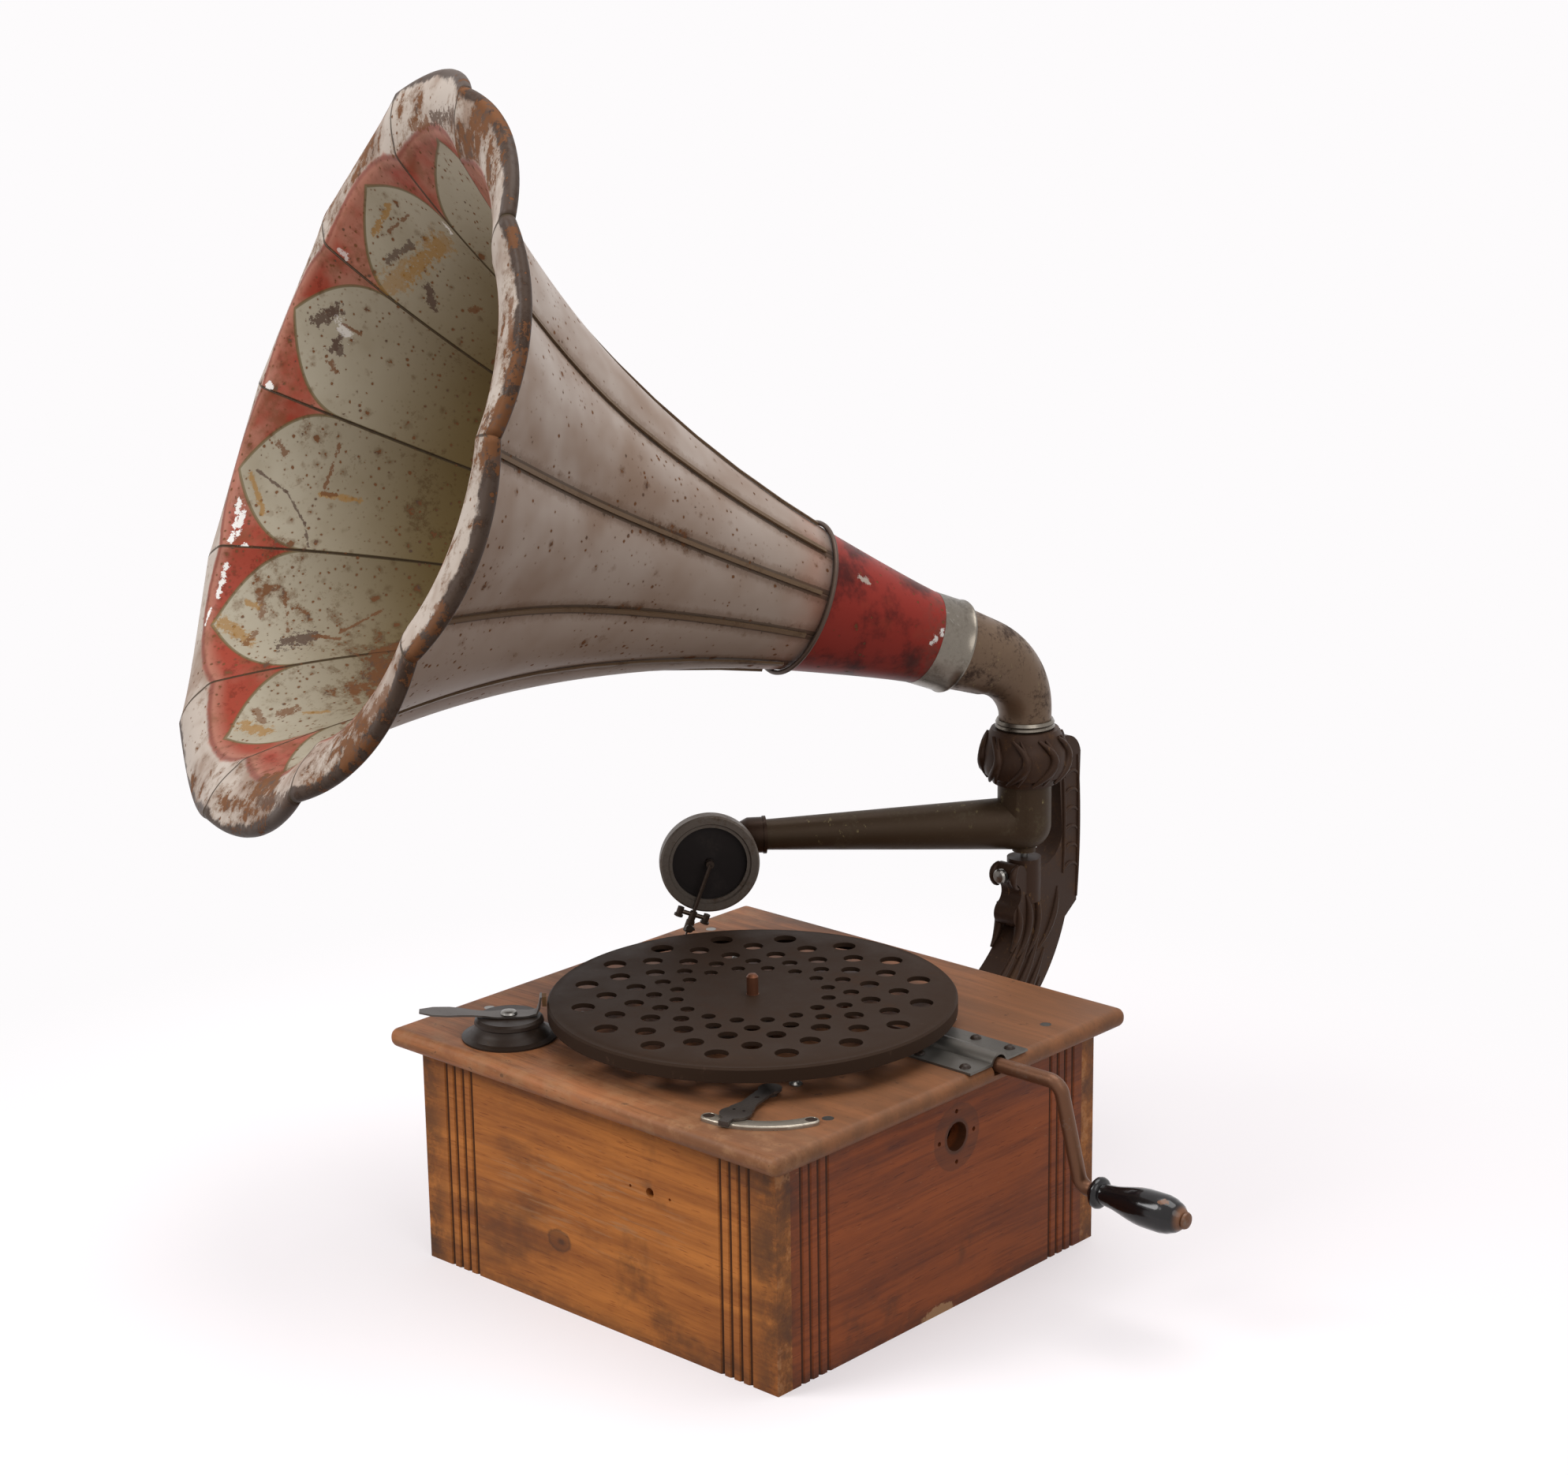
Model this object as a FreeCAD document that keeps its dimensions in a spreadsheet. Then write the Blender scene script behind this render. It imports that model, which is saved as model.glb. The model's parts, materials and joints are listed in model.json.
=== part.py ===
import FreeCAD, Part
import math
import os
import Sketcher

# Horn gramophone, millimetres. The origin is the centre of the cabinet's underside.
# +X is the winding side, -Y the front, +Y the back with the horn bracket, +Z up.

SIZES = [
    ("cabinet_width", 294, "outside, along X"),
    ("cabinet_depth", 292, "outside, along Y"),
    ("cabinet_height", 140, "underside to the underside of the top board"),
    ("panel_thick", 12, "side boards"),
    ("floor_thick", 9, "bottom board"),
    ("top_thick", 12, "top board"),
    ("top_overhang", 14.5, "top board past the side boards"),
    ("top_round", 5.5, "rounded edge of the top board"),
    ("groove_first", 21, "corner to the first groove"),
    ("groove_pitch", 7.4, "between grooves"),
    ("groove_depth", 1.6, "depth of a V groove"),
    ("block_side", 16, "square of a corner block"),
    ("port_radius", 9, "open port in the right face"),
    ("port_y", 12.4, "port centre along Y"),
    ("port_z", "=cabinet_height - 31", "port centre above the underside"),
    ("port_bolt_ring", 32, "pitch circle of the port's screw holes"),
    ("port_bolt_hole", 1.4, "radius of a port screw hole"),
    ("keyhole_x", 48, "front face hole along X"),
    ("keyhole_z", "=cabinet_height - 43", "front face hole above the underside"),
    ("spindle_x", 8, "turntable axis along X"),
    ("spindle_y", -14, "turntable axis along Y"),
    ("spindle_radius", 3.6, "turntable spindle above the platter"),
    ("spindle_shaft", 4, "turntable spindle below its shoulder"),
    ("spindle_tip", 13, "spindle above the platter"),
    ("platter_radius", 125, "ten inch platter"),
    ("platter_clear", 21.5, "top board to the platter's top"),
    ("platter_skirt", 9.5, "height of the platter's rim"),
    ("platter_sheet", 2, "platter sheet"),
    ("hub_radius", 12, "platter boss"),
    ("crank_y", 35, "winding shaft along Y"),
    ("crank_drop", 1, "winding shaft axis below the board's top"),
    ("crank_rod_radius", 4.5, "winding rod"),
    ("crank_reach", "=cabinet_width / 2 + 59", "rod's outer bend along X"),
    ("crank_throw", 72, "shaft axis to handle axis"),
    ("crank_bend", 8, "bend radius of the rod"),
    ("crank_rest_turn", 14, "degrees from straight down, towards the back"),
    ("handle_length", 66, "turned handle"),
    ("handle_radius", 11.5, "turned handle, fullest part"),
    ("plate_start", "=cabinet_width / 2 - 55", "winding plate, inner end along X"),
    ("plate_wide", 54, "winding plate along Y"),
    ("plate_thick", 1.4, "winding plate sheet"),
    ("channel_radius", 6.4, "inside of the plate's raised channel"),
    ("pivot_y", "=cabinet_depth / 2 + 116.4", "tone arm and horn axis along Y"),
    ("arm_level", "=cabinet_height + 77", "tone arm axis above the underside"),
    ("arm_length", 182, "pivot axis to the end of the tapered arm"),
    ("arm_heading", 41, "degrees from the front towards the left"),
    ("arm_big_radius", 18, "arm at the pivot"),
    ("arm_small_radius", 10.2, "arm at the sleeve"),
    ("arm_wall", 1.6, "arm tube wall"),
    ("ring_bottom", "=cabinet_height + 106", "bracket ring above the underside"),
    ("ring_top", "=cabinet_height + 143", "bracket ring above the underside"),
    ("ring_radius", 28.5, "bracket ring outside"),
    ("pivot_pin_radius", 2.5, "pivot pin"),
    ("boss_top", "=cabinet_height + 53.5", "bracket boss above the underside"),
    ("boss_radius", 11.5, "bracket boss"),
    ("bracket_wide", 17, "bracket web along X"),
    ("horn_heading", 25, "degrees from the front towards the left"),
    ("horn_rise", 21.65, "degrees above level"),
    ("horn_level", "=cabinet_height + 182.3", "horn axis meets the pivot axis at this height"),
    ("elbow_start_radius", 17.5, "elbow at the bracket ring"),
    ("elbow_end_radius", 29.6, "elbow at the ferrule"),
    ("elbow_wall", 1.4, "elbow tube wall"),
    ("elbow_start", "=cabinet_height + 152", "height where the elbow starts to turn"),
    ("ferrule_start", 58, "along the horn axis from the pivot axis"),
    ("ferrule_end", 82, "along the horn axis"),
    ("throat_end", 176, "along the horn axis, at the dark ring"),
    ("throat_radius", 47.6, "horn outside at the dark ring"),
    ("crest_start", 484.5, "where the flare turns over into the lip, along the horn axis"),
    ("crest_radius", 193, "horn outside at the crest's start, at a panel's middle"),
    ("crest_bend", 13, "bend radius of the crest"),
    ("horn_mouth", 490.5, "outer end of the lip band along the horn axis"),
    ("mouth_radius", 231, "outer end of the lip band at a panel's middle"),
    ("edge_roll", 3.4, "rolled edge of the lip"),
    ("horn_sheet", 0.8, "horn sheet"),
    ("panel_count", 11, "horn panels"),
    ("seam_wide", 2.6, "raised seam width"),
    ("seam_high", 2.2, "raised seam above the sheet"),
    ("soundbox_radius", 32.8, "soundbox outside"),
    ("soundbox_depth", 13, "soundbox housing"),
    ("soundbox_drop", 11, "soundbox centre below the arm axis"),
    ("soundbox_reach", "=arm_length + 31.5", "pivot axis to soundbox centre, along the arm"),
    ("soundbox_offset", 12.4, "arm axis to the soundbox's back face"),
    ("brake_x", "=53 - cabinet_width / 2", "brake base along X"),
    ("brake_y", "=24.4 - cabinet_depth / 2", "brake base along Y"),
    ("brake_flange", 29, "brake base flange radius"),
    ("brake_height", 13, "brake base height"),
    ("speed_x", "=spindle_x + 84", "speed lever pivot along X"),
    ("speed_y", "=spindle_y - 76", "speed lever pivot along Y"),
    ("gear_module", 1, "barrel gear tooth module"),
    ("barrel_teeth", 84, "teeth of the barrel gear"),
    ("middle_pinion_teeth", 14, "teeth of the intermediate pinion"),
    ("fast_module", 0.8, "second pair's tooth module"),
    ("middle_teeth", 60, "teeth of the intermediate wheel"),
    ("spindle_teeth", 15, "teeth of the spindle pinion"),
    ("governor_wheel_teeth", 60, "teeth of the governor wheel"),
    ("worm_module", 0.6, "governor wheel's tooth module"),
    ("gear_face", 6, "face width of the gears"),
    ("motor_plate", 3, "motor plate sheet"),
    ("motor_gap", 72, "between the motor plates"),
    ("barrel_radius", 38, "mainspring barrel"),
    ("barrel_height", 34, "mainspring barrel"),
    ("run_gap", 0.3, "air between turning pieces"),
    ("fit_gap", 0.05, "shaft in its bore, radial"),
]

doc = FreeCAD.newDocument("HornGramophone")
sheet = doc.addObject("Spreadsheet::Sheet", "Sizes")
for row, (alias, number, note) in enumerate(SIZES, start=1):
    sheet.set("A%d" % row, alias)
    sheet.set("B%d" % row, str(number))
    sheet.set("C%d" % row, note)
    sheet.setAlias("B%d" % row, alias)
doc.recompute()
doc.UndoMode = 0
PIECES = []


def size(alias):
    """The number in a cell of the sheet."""
    return float(sheet.get(alias))


def words_to_cells(text):
    """Puts the sheet's name before each alias in an expression."""
    result = ""
    word = ""
    for letter in text + " ":
        if letter.isalnum() or letter == "_":
            word += letter
            continue
        result += "Sizes." + word if "_" in word else word
        result += letter
        word = ""
    return result.strip()


def bind(item, name, text):
    item.setExpression(name, words_to_cells(text))


def seat(item, x="0", y="0", z="0"):
    bind(item, "Placement.Base.x", x)
    bind(item, "Placement.Base.y", y)
    bind(item, "Placement.Base.z", z)
    return item


def box(name, length, width, height, x="0", y="0", z="0"):
    item = doc.addObject("Part::Box", name)
    bind(item, "Length", length)
    bind(item, "Width", width)
    bind(item, "Height", height)
    return seat(item, x, y, z)


UPRIGHT = FreeCAD.Rotation()
ALONG_X = FreeCAD.Rotation(FreeCAD.Vector(0, 1, 0), 90)
ALONG_Y = FreeCAD.Rotation(FreeCAD.Vector(1, 0, 0), -90)


def rod(name, radius, height, x="0", y="0", z="0", turn=UPRIGHT):
    item = doc.addObject("Part::Cylinder", name)
    bind(item, "Radius", radius)
    bind(item, "Height", height)
    item.Placement.Rotation = turn
    return seat(item, x, y, z)


def cone(name, low, high, height, x="0", y="0", z="0", turn=UPRIGHT):
    item = doc.addObject("Part::Cone", name)
    bind(item, "Radius1", low)
    bind(item, "Radius2", high)
    bind(item, "Height", height)
    item.Placement.Rotation = turn
    return seat(item, x, y, z)


def gather(name, items):
    """One compound of separate solids."""
    item = doc.addObject("Part::Compound", name)
    item.Links = items
    return item


def fuse(name, items):
    item = doc.addObject("Part::MultiFuse", name)
    item.Shapes = items
    item.Refine = False
    return item


def cut(name, base, tools):
    item = doc.addObject("Part::Cut", name)
    item.Base = base
    item.Tool = tools[0] if len(tools) == 1 else gather(name + "_tools", tools)
    item.Refine = False
    return item


def made(name, shape, placement=None):
    """A piece whose form the solids above don't have: loft, gear outline or bent tube."""
    item = doc.addObject("Part::Feature", name)
    item.Shape = shape
    if placement:
        item.Placement = placement.multiply(shape.Placement)
    return item


def piece(item, label):
    """Marks an object as a sub-part that is written to its own file."""
    item.Label = label
    PIECES.append(item)
    return item


def origin_plane(body, role):
    for feature in body.Origin.OriginFeatures:
        if feature.Role == role:
            return feature
    raise ValueError(role)


def sketch_on(body, role, name):
    sketch = body.newObject("Sketcher::SketchObject", name)
    sketch.AttachmentSupport = [(origin_plane(body, role), "")]
    sketch.MapMode = "FlatFace"
    return sketch


def turned(name, outline, placement=None):
    """A body of revolution about Z from an outline of (radius, height) points."""
    body = doc.addObject("PartDesign::Body", name)
    sketch = sketch_on(body, "XZ_Plane", name + "_outline")
    points = [FreeCAD.Vector(radius, height, 0) for radius, height in outline]
    for first, second in zip(points, points[1:] + points[:1]):
        sketch.addGeometry(Part.LineSegment(first, second), False)
    spin = body.newObject("PartDesign::Revolution", name + "_spin")
    spin.Profile = sketch
    spin.ReferenceAxis = (sketch, ["V_Axis"])
    spin.Angle = 360
    body.Tip = spin
    if placement:
        body.Placement = placement
    return body


def arc_points(centre, radius, start, end, steps):
    """Points on a turn of an outline, angles in degrees."""
    points = []
    for step in range(steps + 1):
        angle = math.radians(start + (end - start) * step / steps)
        points.append((centre[0] + radius * math.cos(angle), centre[1] + radius * math.sin(angle)))
    return points


def at(x, y, z, rotation=UPRIGHT):
    return FreeCAD.Placement(FreeCAD.Vector(x, y, z), rotation)


# Cabinet

HALF_WIDTH = size("cabinet_width") / 2
HALF_DEPTH = size("cabinet_depth") / 2
BOARD_TOP = size("cabinet_height") + size("top_thick")
TOP_SCREW_ROWS = (51 - HALF_DEPTH, HALF_DEPTH - 41)


def groove_tools(name, along_x):
    """Square bars turned on edge that cut four V grooves near each end of a face."""
    bars = []
    half = HALF_WIDTH if along_x else HALF_DEPTH
    bar = size("groove_depth") * math.sqrt(2)
    for end in (-1, 1):
        for index in range(4):
            offset = end * (half - size("groove_first") - index * size("groove_pitch"))
            item = box("%s_groove_%d_%d" % (name, end + 1, index), str(bar), str(bar), "cabinet_height + 2")
            item.Placement.Rotation = FreeCAD.Rotation(FreeCAD.Vector(0, 0, 1), 45)
            if along_x:
                seat(item, str(offset), "-cabinet_depth / 2 - groove_depth", "-1")
            else:
                seat(item, "cabinet_width / 2", str(offset) + " - groove_depth", "-1")
            bars.append(item)
    return bars


def front_panel():
    board = box("FrontBoard", "cabinet_width", "panel_thick", "cabinet_height",
                "-cabinet_width / 2", "-cabinet_depth / 2")
    holes = [rod("KeyHole", "3", "panel_thick + 2", "keyhole_x", "-cabinet_depth / 2 - 1", "keyhole_z", ALONG_Y)]
    for side in (-1, 1):
        holes.append(rod("KeyScrewHole%d" % (side + 1), "1", "panel_thick / 2", "keyhole_x + %d" % (side * 16),
                         "-cabinet_depth / 2 - 1", "keyhole_z", ALONG_Y))
    return cut("FrontPanel", board, groove_tools("Front", True) + holes)


def side_panel(name, x):
    """A side board with the pilot holes for the top board's screws."""
    board = box(name + "Blank", "panel_thick", "cabinet_depth - 2 * panel_thick", "cabinet_height",
                x, "-cabinet_depth / 2 + panel_thick")
    holes = [rod("%sPilot%d" % (name, index), "1.7", "12", x + " + panel_thick / 2", str(y), "cabinet_height - 11")
             for index, y in enumerate(TOP_SCREW_ROWS)]
    return cut(name, board, holes)


def right_panel():
    board = side_panel("RightBoard", "cabinet_width / 2 - panel_thick")
    bore = rod("PortBore", "port_radius", "panel_thick + 2", "cabinet_width / 2 - panel_thick - 1",
               "port_y", "port_z", ALONG_X)
    holes = [bore]
    for index, (across, up) in enumerate(((1, 0), (0, 1), (-1, 0), (0, -1))):
        holes.append(rod("PortScrewHole%d" % index, "port_bolt_hole", "panel_thick + 2",
                         "cabinet_width / 2 - panel_thick - 1", "port_y + %d * port_bolt_ring / 2" % across,
                         "port_z + %d * port_bolt_ring / 2" % up, ALONG_X))
    return cut("RightPanel", board, groove_tools("Right", False) + holes)


def bracket_screw_places():
    """Where the bracket's foot is screwed to the back board: (x, z)."""
    low = size("cabinet_height") - 100
    return [(-17, low), (17, low), (-17, low + 72), (17, low + 72)]


def back_panel():
    board = box("BackBoard", "cabinet_width", "panel_thick", "cabinet_height",
                "-cabinet_width / 2", "cabinet_depth / 2 - panel_thick")
    holes = [rod("BackHole%d" % index, "1.6", "panel_thick + 2", str(x),
                 "cabinet_depth / 2 - panel_thick - 1", str(z), ALONG_Y)
             for index, (x, z) in enumerate(bracket_screw_places())]
    return cut("BackPanel", board, holes)


def bottom_board():
    return box("BottomBoard", "cabinet_width - 2 * panel_thick", "cabinet_depth - 2 * panel_thick", "floor_thick",
               "-cabinet_width / 2 + panel_thick", "-cabinet_depth / 2 + panel_thick")


def corner_blocks():
    blocks = []
    for right in (0, 1):
        for back in (0, 1):
            x = "cabinet_width / 2 - panel_thick - block_side" if right else "-cabinet_width / 2 + panel_thick"
            y = "cabinet_depth / 2 - panel_thick - block_side" if back else "-cabinet_depth / 2 + panel_thick"
            blocks.append(box("Block%d%d" % (right, back), "block_side", "block_side",
                              "cabinet_height - floor_thick", x, y, "floor_thick"))
    return gather("CornerBlocks", blocks)


def top_screw_places():
    """Wood screws through the top board into the side boards and blocks."""
    inset = size("panel_thick") / 2
    return [(x, y) for x in (-HALF_WIDTH + inset, HALF_WIDTH - inset) for y in TOP_SCREW_ROWS]


def motor_bolt_places():
    """The four bolts that hang the motor from the top board."""
    return [(ARBOR_X + dx, y) for dx in (-52, 126) for y in (SPINDLE_Y - 54, CRANK_Y + 38)]


SPINDLE_X = size("spindle_x")
SPINDLE_Y = size("spindle_y")
CRANK_Y = size("crank_y")
CRANK_Z = BOARD_TOP - size("crank_drop")
BARREL_GEAR = size("gear_module") * size("barrel_teeth") / 2
MIDDLE_PINION = size("gear_module") * size("middle_pinion_teeth") / 2
MIDDLE_GEAR = size("fast_module") * size("middle_teeth") / 2
SPINDLE_PINION = size("fast_module") * size("spindle_teeth") / 2
GOVERNOR_GEAR = size("worm_module") * size("governor_wheel_teeth") / 2
# The winding arbor stands left of the spindle, in line with the winding shaft.
ARBOR_X = SPINDLE_X - 42
ARBOR_Y = CRANK_Y


def top_board():
    board = box("TopBlank", "cabinet_width + 2 * top_overhang", "cabinet_depth + 2 * top_overhang + 1",
                "top_thick", "-cabinet_width / 2 - top_overhang", "-cabinet_depth / 2 - top_overhang - 0.5",
                "cabinet_height")
    doc.recompute()
    rounded = doc.addObject("Part::Fillet", "TopRounded")
    rounded.Base = board
    radius = size("top_round")
    rounded.Edges = [(index, radius, radius) for index in range(1, len(board.Shape.Edges) + 1)]
    holes = [
        rod("SpindleWell", "spindle_shaft + 5.6", "top_thick + 2", "spindle_x", "spindle_y", "cabinet_height - 1"),
        rod("WheelWell", "30", "top_thick + 2", str(ARBOR_X), str(ARBOR_Y), "cabinet_height - 1"),
        box("ShaftNotch", "cabinet_width / 2 + top_overhang + 2 - %r" % ARBOR_X, "2 * crank_rod_radius + 2",
            "top_thick", str(ARBOR_X), "crank_y - crank_rod_radius - 1",
            "cabinet_height + top_thick - crank_drop - crank_rod_radius - 1"),
        rod("SpeedWell", "4.3", "top_thick + 2", "speed_x", "speed_y", "cabinet_height - 1"),
    ]
    for index, (x, y) in enumerate(motor_bolt_places()):
        holes.append(rod("MotorBoltHole%d" % index, "2.2", "top_thick + 2", str(x), str(y), "cabinet_height - 1"))
    for index, (x, y) in enumerate(top_screw_places()):
        holes.append(rod("TopScrewHole%d" % index, "1.8", "top_thick + 2", str(x), str(y), "cabinet_height - 1"))
        holes.append(cone("TopScrewSink%d" % index, "1.8", "3.6", "2.2", str(x), str(y),
                          "cabinet_height + top_thick - 2.2"))
    for index, (x, y) in enumerate(winding_screw_places()):
        holes.append(rod("PlatePilot%d" % index, "1.6", "10.5", str(x), "crank_y + %r" % y, str(BOARD_TOP - 10.5)))
    for index, place in enumerate(speed_screw_places()):
        holes.append(rod("StripPilot%d" % index, "1.7", "9.5", str(place.x), str(place.y), str(BOARD_TOP - 9.5)))
    return cut("TopBoard", rounded, holes)


def wood_screw(name, x, y, z, length, turn=UPRIGHT):
    """A countersunk screw whose head is flush at (x, y, z) and whose shank runs down -Z of its own frame."""
    head = turned(name, [(0, 0), (3.4, 0), (1.7, -2.1), (1.7, -length + 3), (0, -length)], at(x, y, z, turn))
    return head


def cabinet_screws():
    return gather("CabinetScrews", [wood_screw("TopScrew%d" % index, x, y, BOARD_TOP - 0.1, size("top_thick") + 10)
                                    for index, (x, y) in enumerate(top_screw_places())])


piece(front_panel(), "front_panel")
piece(back_panel(), "back_panel")
piece(side_panel("LeftPanel", "-cabinet_width / 2"), "left_side_panel")
piece(right_panel(), "right_side_panel")
piece(bottom_board(), "bottom_board")
piece(corner_blocks(), "corner_blocks")


# Turntable

PLATTER_TOP = BOARD_TOP + size("platter_clear")
HOLE_RINGS = [(104, 7.2), (89, 6.3), (73, 6), (60, 5), (47, 4.4)]
HOLES_IN_RING = 16


def turntable_platter():
    """A shallow pressed dish with a rim, a raised bead, a boss under its centre and rings of holes."""
    edge = size("platter_radius")
    sheet_thick = size("platter_sheet")
    top = PLATTER_TOP
    under = top - sheet_thick
    bore = size("spindle_shaft")
    body = turned("Platter", [
        (bore, top), (edge - 6, top), (edge - 5, top - 0.6), (edge - 1.2, top - 0.6), (edge, top - 1.8),
        (edge, top - size("platter_skirt")), (edge - sheet_thick, top - size("platter_skirt")),
        (edge - sheet_thick, under - 1), (size("hub_radius") + 3, under), (size("hub_radius"), under - 2),
        (size("hub_radius"), under - 10), (bore, under - 10)])
    sketch = sketch_on(body, "XY_Plane", "PlatterHoles")
    sketch.AttachmentOffset = at(0, 0, top + 1)
    for ring, (radius, hole) in enumerate(HOLE_RINGS):
        for index in range(HOLES_IN_RING):
            angle = math.radians((index + 0.5 * ((ring + 1) % 2)) * 360 / HOLES_IN_RING - 47.4)
            centre = FreeCAD.Vector(radius * math.cos(angle), radius * math.sin(angle), 0)
            sketch.addGeometry(Part.Circle(centre, FreeCAD.Vector(0, 0, 1), hole), False)
    holes = body.newObject("PartDesign::Pocket", "PlatterPocket")
    holes.Profile = sketch
    holes.Length = 6
    body.Tip = holes
    return seat(body, "spindle_x", "spindle_y")


# Motor under the top board

MOTOR_HANG = 4
PLATE_TOP = size("cabinet_height") - MOTOR_HANG
PLATE_UNDER = PLATE_TOP - size("motor_plate")
LOWER_TOP = PLATE_UNDER - size("motor_gap") + 4
LOWER_UNDER = LOWER_TOP - size("motor_plate")
MOTOR_LEFT = ARBOR_X - 64
MOTOR_RIGHT = ARBOR_X + 138
MOTOR_FRONT = SPINDLE_Y - 66
MOTOR_BACK = CRANK_Y + 50
GEAR_LEVEL = LOWER_TOP + 13
WHEEL_LEVEL = LOWER_TOP + 5
GOVERNOR_LEVEL = LOWER_TOP + 37
FACE = size("gear_face")
ARBOR_RADIUS = 4
MIDDLE_SHAFT = 2.5


def middle_place():
    """The intermediate shaft, at its two centre distances from the arbor and the spindle."""
    reach = BARREL_GEAR + MIDDLE_PINION + 0.1
    span = MIDDLE_GEAR + SPINDLE_PINION + 0.1
    along = FreeCAD.Vector(SPINDLE_X - ARBOR_X, SPINDLE_Y - ARBOR_Y, 0)
    gap = along.Length
    forward = (reach ** 2 - span ** 2 + gap ** 2) / (2 * gap)
    aside = math.sqrt(reach ** 2 - forward ** 2)
    along.normalize()
    return (ARBOR_X + along.x * forward - along.y * aside, ARBOR_Y + along.y * forward + along.x * aside)


MIDDLE_X, MIDDLE_Y = middle_place()
WORM_RADIUS = 3.4
GOVERNOR_Y = SPINDLE_Y - GOVERNOR_GEAR - WORM_RADIUS - 0.7
GOVERNOR_START = SPINDLE_X - 22
GOVERNOR_END = SPINDLE_X + 72
TOOTH_TIP = 0.08
TOOTH_ROOT = 0.23


def gear_outline(module, teeth, addendum, dedendum, tip_share, root_share):
    """A closed wire of straight-sided teeth; the shares are half widths in circular pitches."""
    pitch = module * teeth / 2
    step = 2 * math.pi / teeth
    corners = []
    for tooth in range(teeth):
        middle = tooth * step
        for radius, share in ((pitch - dedendum, -root_share), (pitch + addendum, -tip_share),
                              (pitch + addendum, tip_share), (pitch - dedendum, root_share)):
            angle = middle + share * step
            corners.append(FreeCAD.Vector(radius * math.cos(angle), radius * math.sin(angle), 0))
    return Part.makePolygon(corners + corners[:1])


def gear_blank(module, teeth, face, bore, turn_share=0.0):
    """A spur gear on Z with a shaft hole, turned by a share of one tooth."""
    outline = gear_outline(module, teeth, 0.75 * module, 1.1 * module, TOOTH_TIP, TOOTH_ROOT)
    solid = Part.Face(outline).extrude(FreeCAD.Vector(0, 0, face))
    solid = solid.cut(Part.makeCylinder(bore, face + 2, FreeCAD.Vector(0, 0, -1)))
    solid.rotate(FreeCAD.Vector(), FreeCAD.Vector(0, 0, 1), turn_share * 360.0 / teeth)
    return solid


def mesh_turn(teeth, heading, tooth_at_heading):
    """The share of a tooth that puts a tooth, or a gap, on a heading in degrees."""
    share = heading / (360.0 / teeth)
    share -= math.floor(share)
    return share if tooth_at_heading else share + 0.5


def heading(x1, y1, x2, y2):
    return math.degrees(math.atan2(y2 - y1, x2 - x1))


def motor_sheet(name, z):
    """A motor plate with the shaft bearings, screw holes and rounded corners."""
    blank = box(name + "Blank", str(MOTOR_RIGHT - MOTOR_LEFT), str(MOTOR_BACK - MOTOR_FRONT), "motor_plate",
                str(MOTOR_LEFT), str(MOTOR_FRONT), str(z))
    holes = [
        rod(name + "ArborBore", "%r + fit_gap" % ARBOR_RADIUS, "motor_plate + 2", str(ARBOR_X), str(ARBOR_Y),
            str(z - 1)),
        rod(name + "MiddleBore", "%r + fit_gap" % MIDDLE_SHAFT, "motor_plate + 2", str(MIDDLE_X), str(MIDDLE_Y),
            str(z - 1)),
        rod(name + "SpindleBore", "spindle_shaft + fit_gap", "motor_plate + 2", "spindle_x", "spindle_y",
            str(z - 1)),
    ]
    for index, (x, y) in enumerate(motor_bolt_places()):
        holes.append(rod("%sBolt%d" % (name, index), "2.2", "motor_plate + 2", str(x), str(y), str(z - 1)))
    return cut(name, blank, holes)


def motor_pillars():
    posts = []
    for index, (x, y) in enumerate(motor_bolt_places()):
        post = rod("Post%d" % index, "5", str(PLATE_UNDER - LOWER_TOP), str(x), str(y), str(LOWER_TOP))
        hole = rod("PostHole%d" % index, "2.2", str(PLATE_UNDER - LOWER_TOP + 2), str(x), str(y),
                   str(LOWER_TOP - 1))
        posts.append(cut("Pillar%d" % index, post, [hole]))
    return gather("MotorPillars", posts)


def motor_bolts():
    """Long bolts from the top board through spacer, plate and pillar, with a nut below each."""
    bolts = []
    shank = BOARD_TOP - LOWER_UNDER + 4
    for index, (x, y) in enumerate(motor_bolt_places()):
        bolt = turned("MotorBolt%d" % index, [
            (0, 2.4), (2, 2.2), (4, 0.8), (4, 0.05), (2, 0.05), (2, -shank), (0, -shank)], at(x, y, BOARD_TOP))
        bolts.append(bolt)
    return gather("MotorBolts", bolts)


def motor_nuts():
    nuts = []
    for index, (x, y) in enumerate(motor_bolt_places()):
        nut = Part.Face(Part.makePolygon([FreeCAD.Vector(4 * math.cos(math.radians(60 * corner)),
                                                         4 * math.sin(math.radians(60 * corner)), 0)
                                          for corner in range(7)])).extrude(FreeCAD.Vector(0, 0, 3))
        nut = nut.cut(Part.makeCylinder(2.02, 5, FreeCAD.Vector(0, 0, -1)))
        nuts.append(made("MotorNut%d" % index, nut, at(x, y, LOWER_UNDER - 3)))
    return gather("MotorNuts", nuts)


def motor_spacers():
    rings = []
    for index, (x, y) in enumerate(motor_bolt_places()):
        rings.append(turned("Spacer%d" % index, [(2.2, 0), (6, 0), (6, MOTOR_HANG), (2.2, MOTOR_HANG)],
                            at(x, y, PLATE_TOP)))
    return gather("MotorSpacers", rings)


BARREL_FLOOR = GEAR_LEVEL + FACE
BARREL_LID = BARREL_FLOOR + size("barrel_height")


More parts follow.
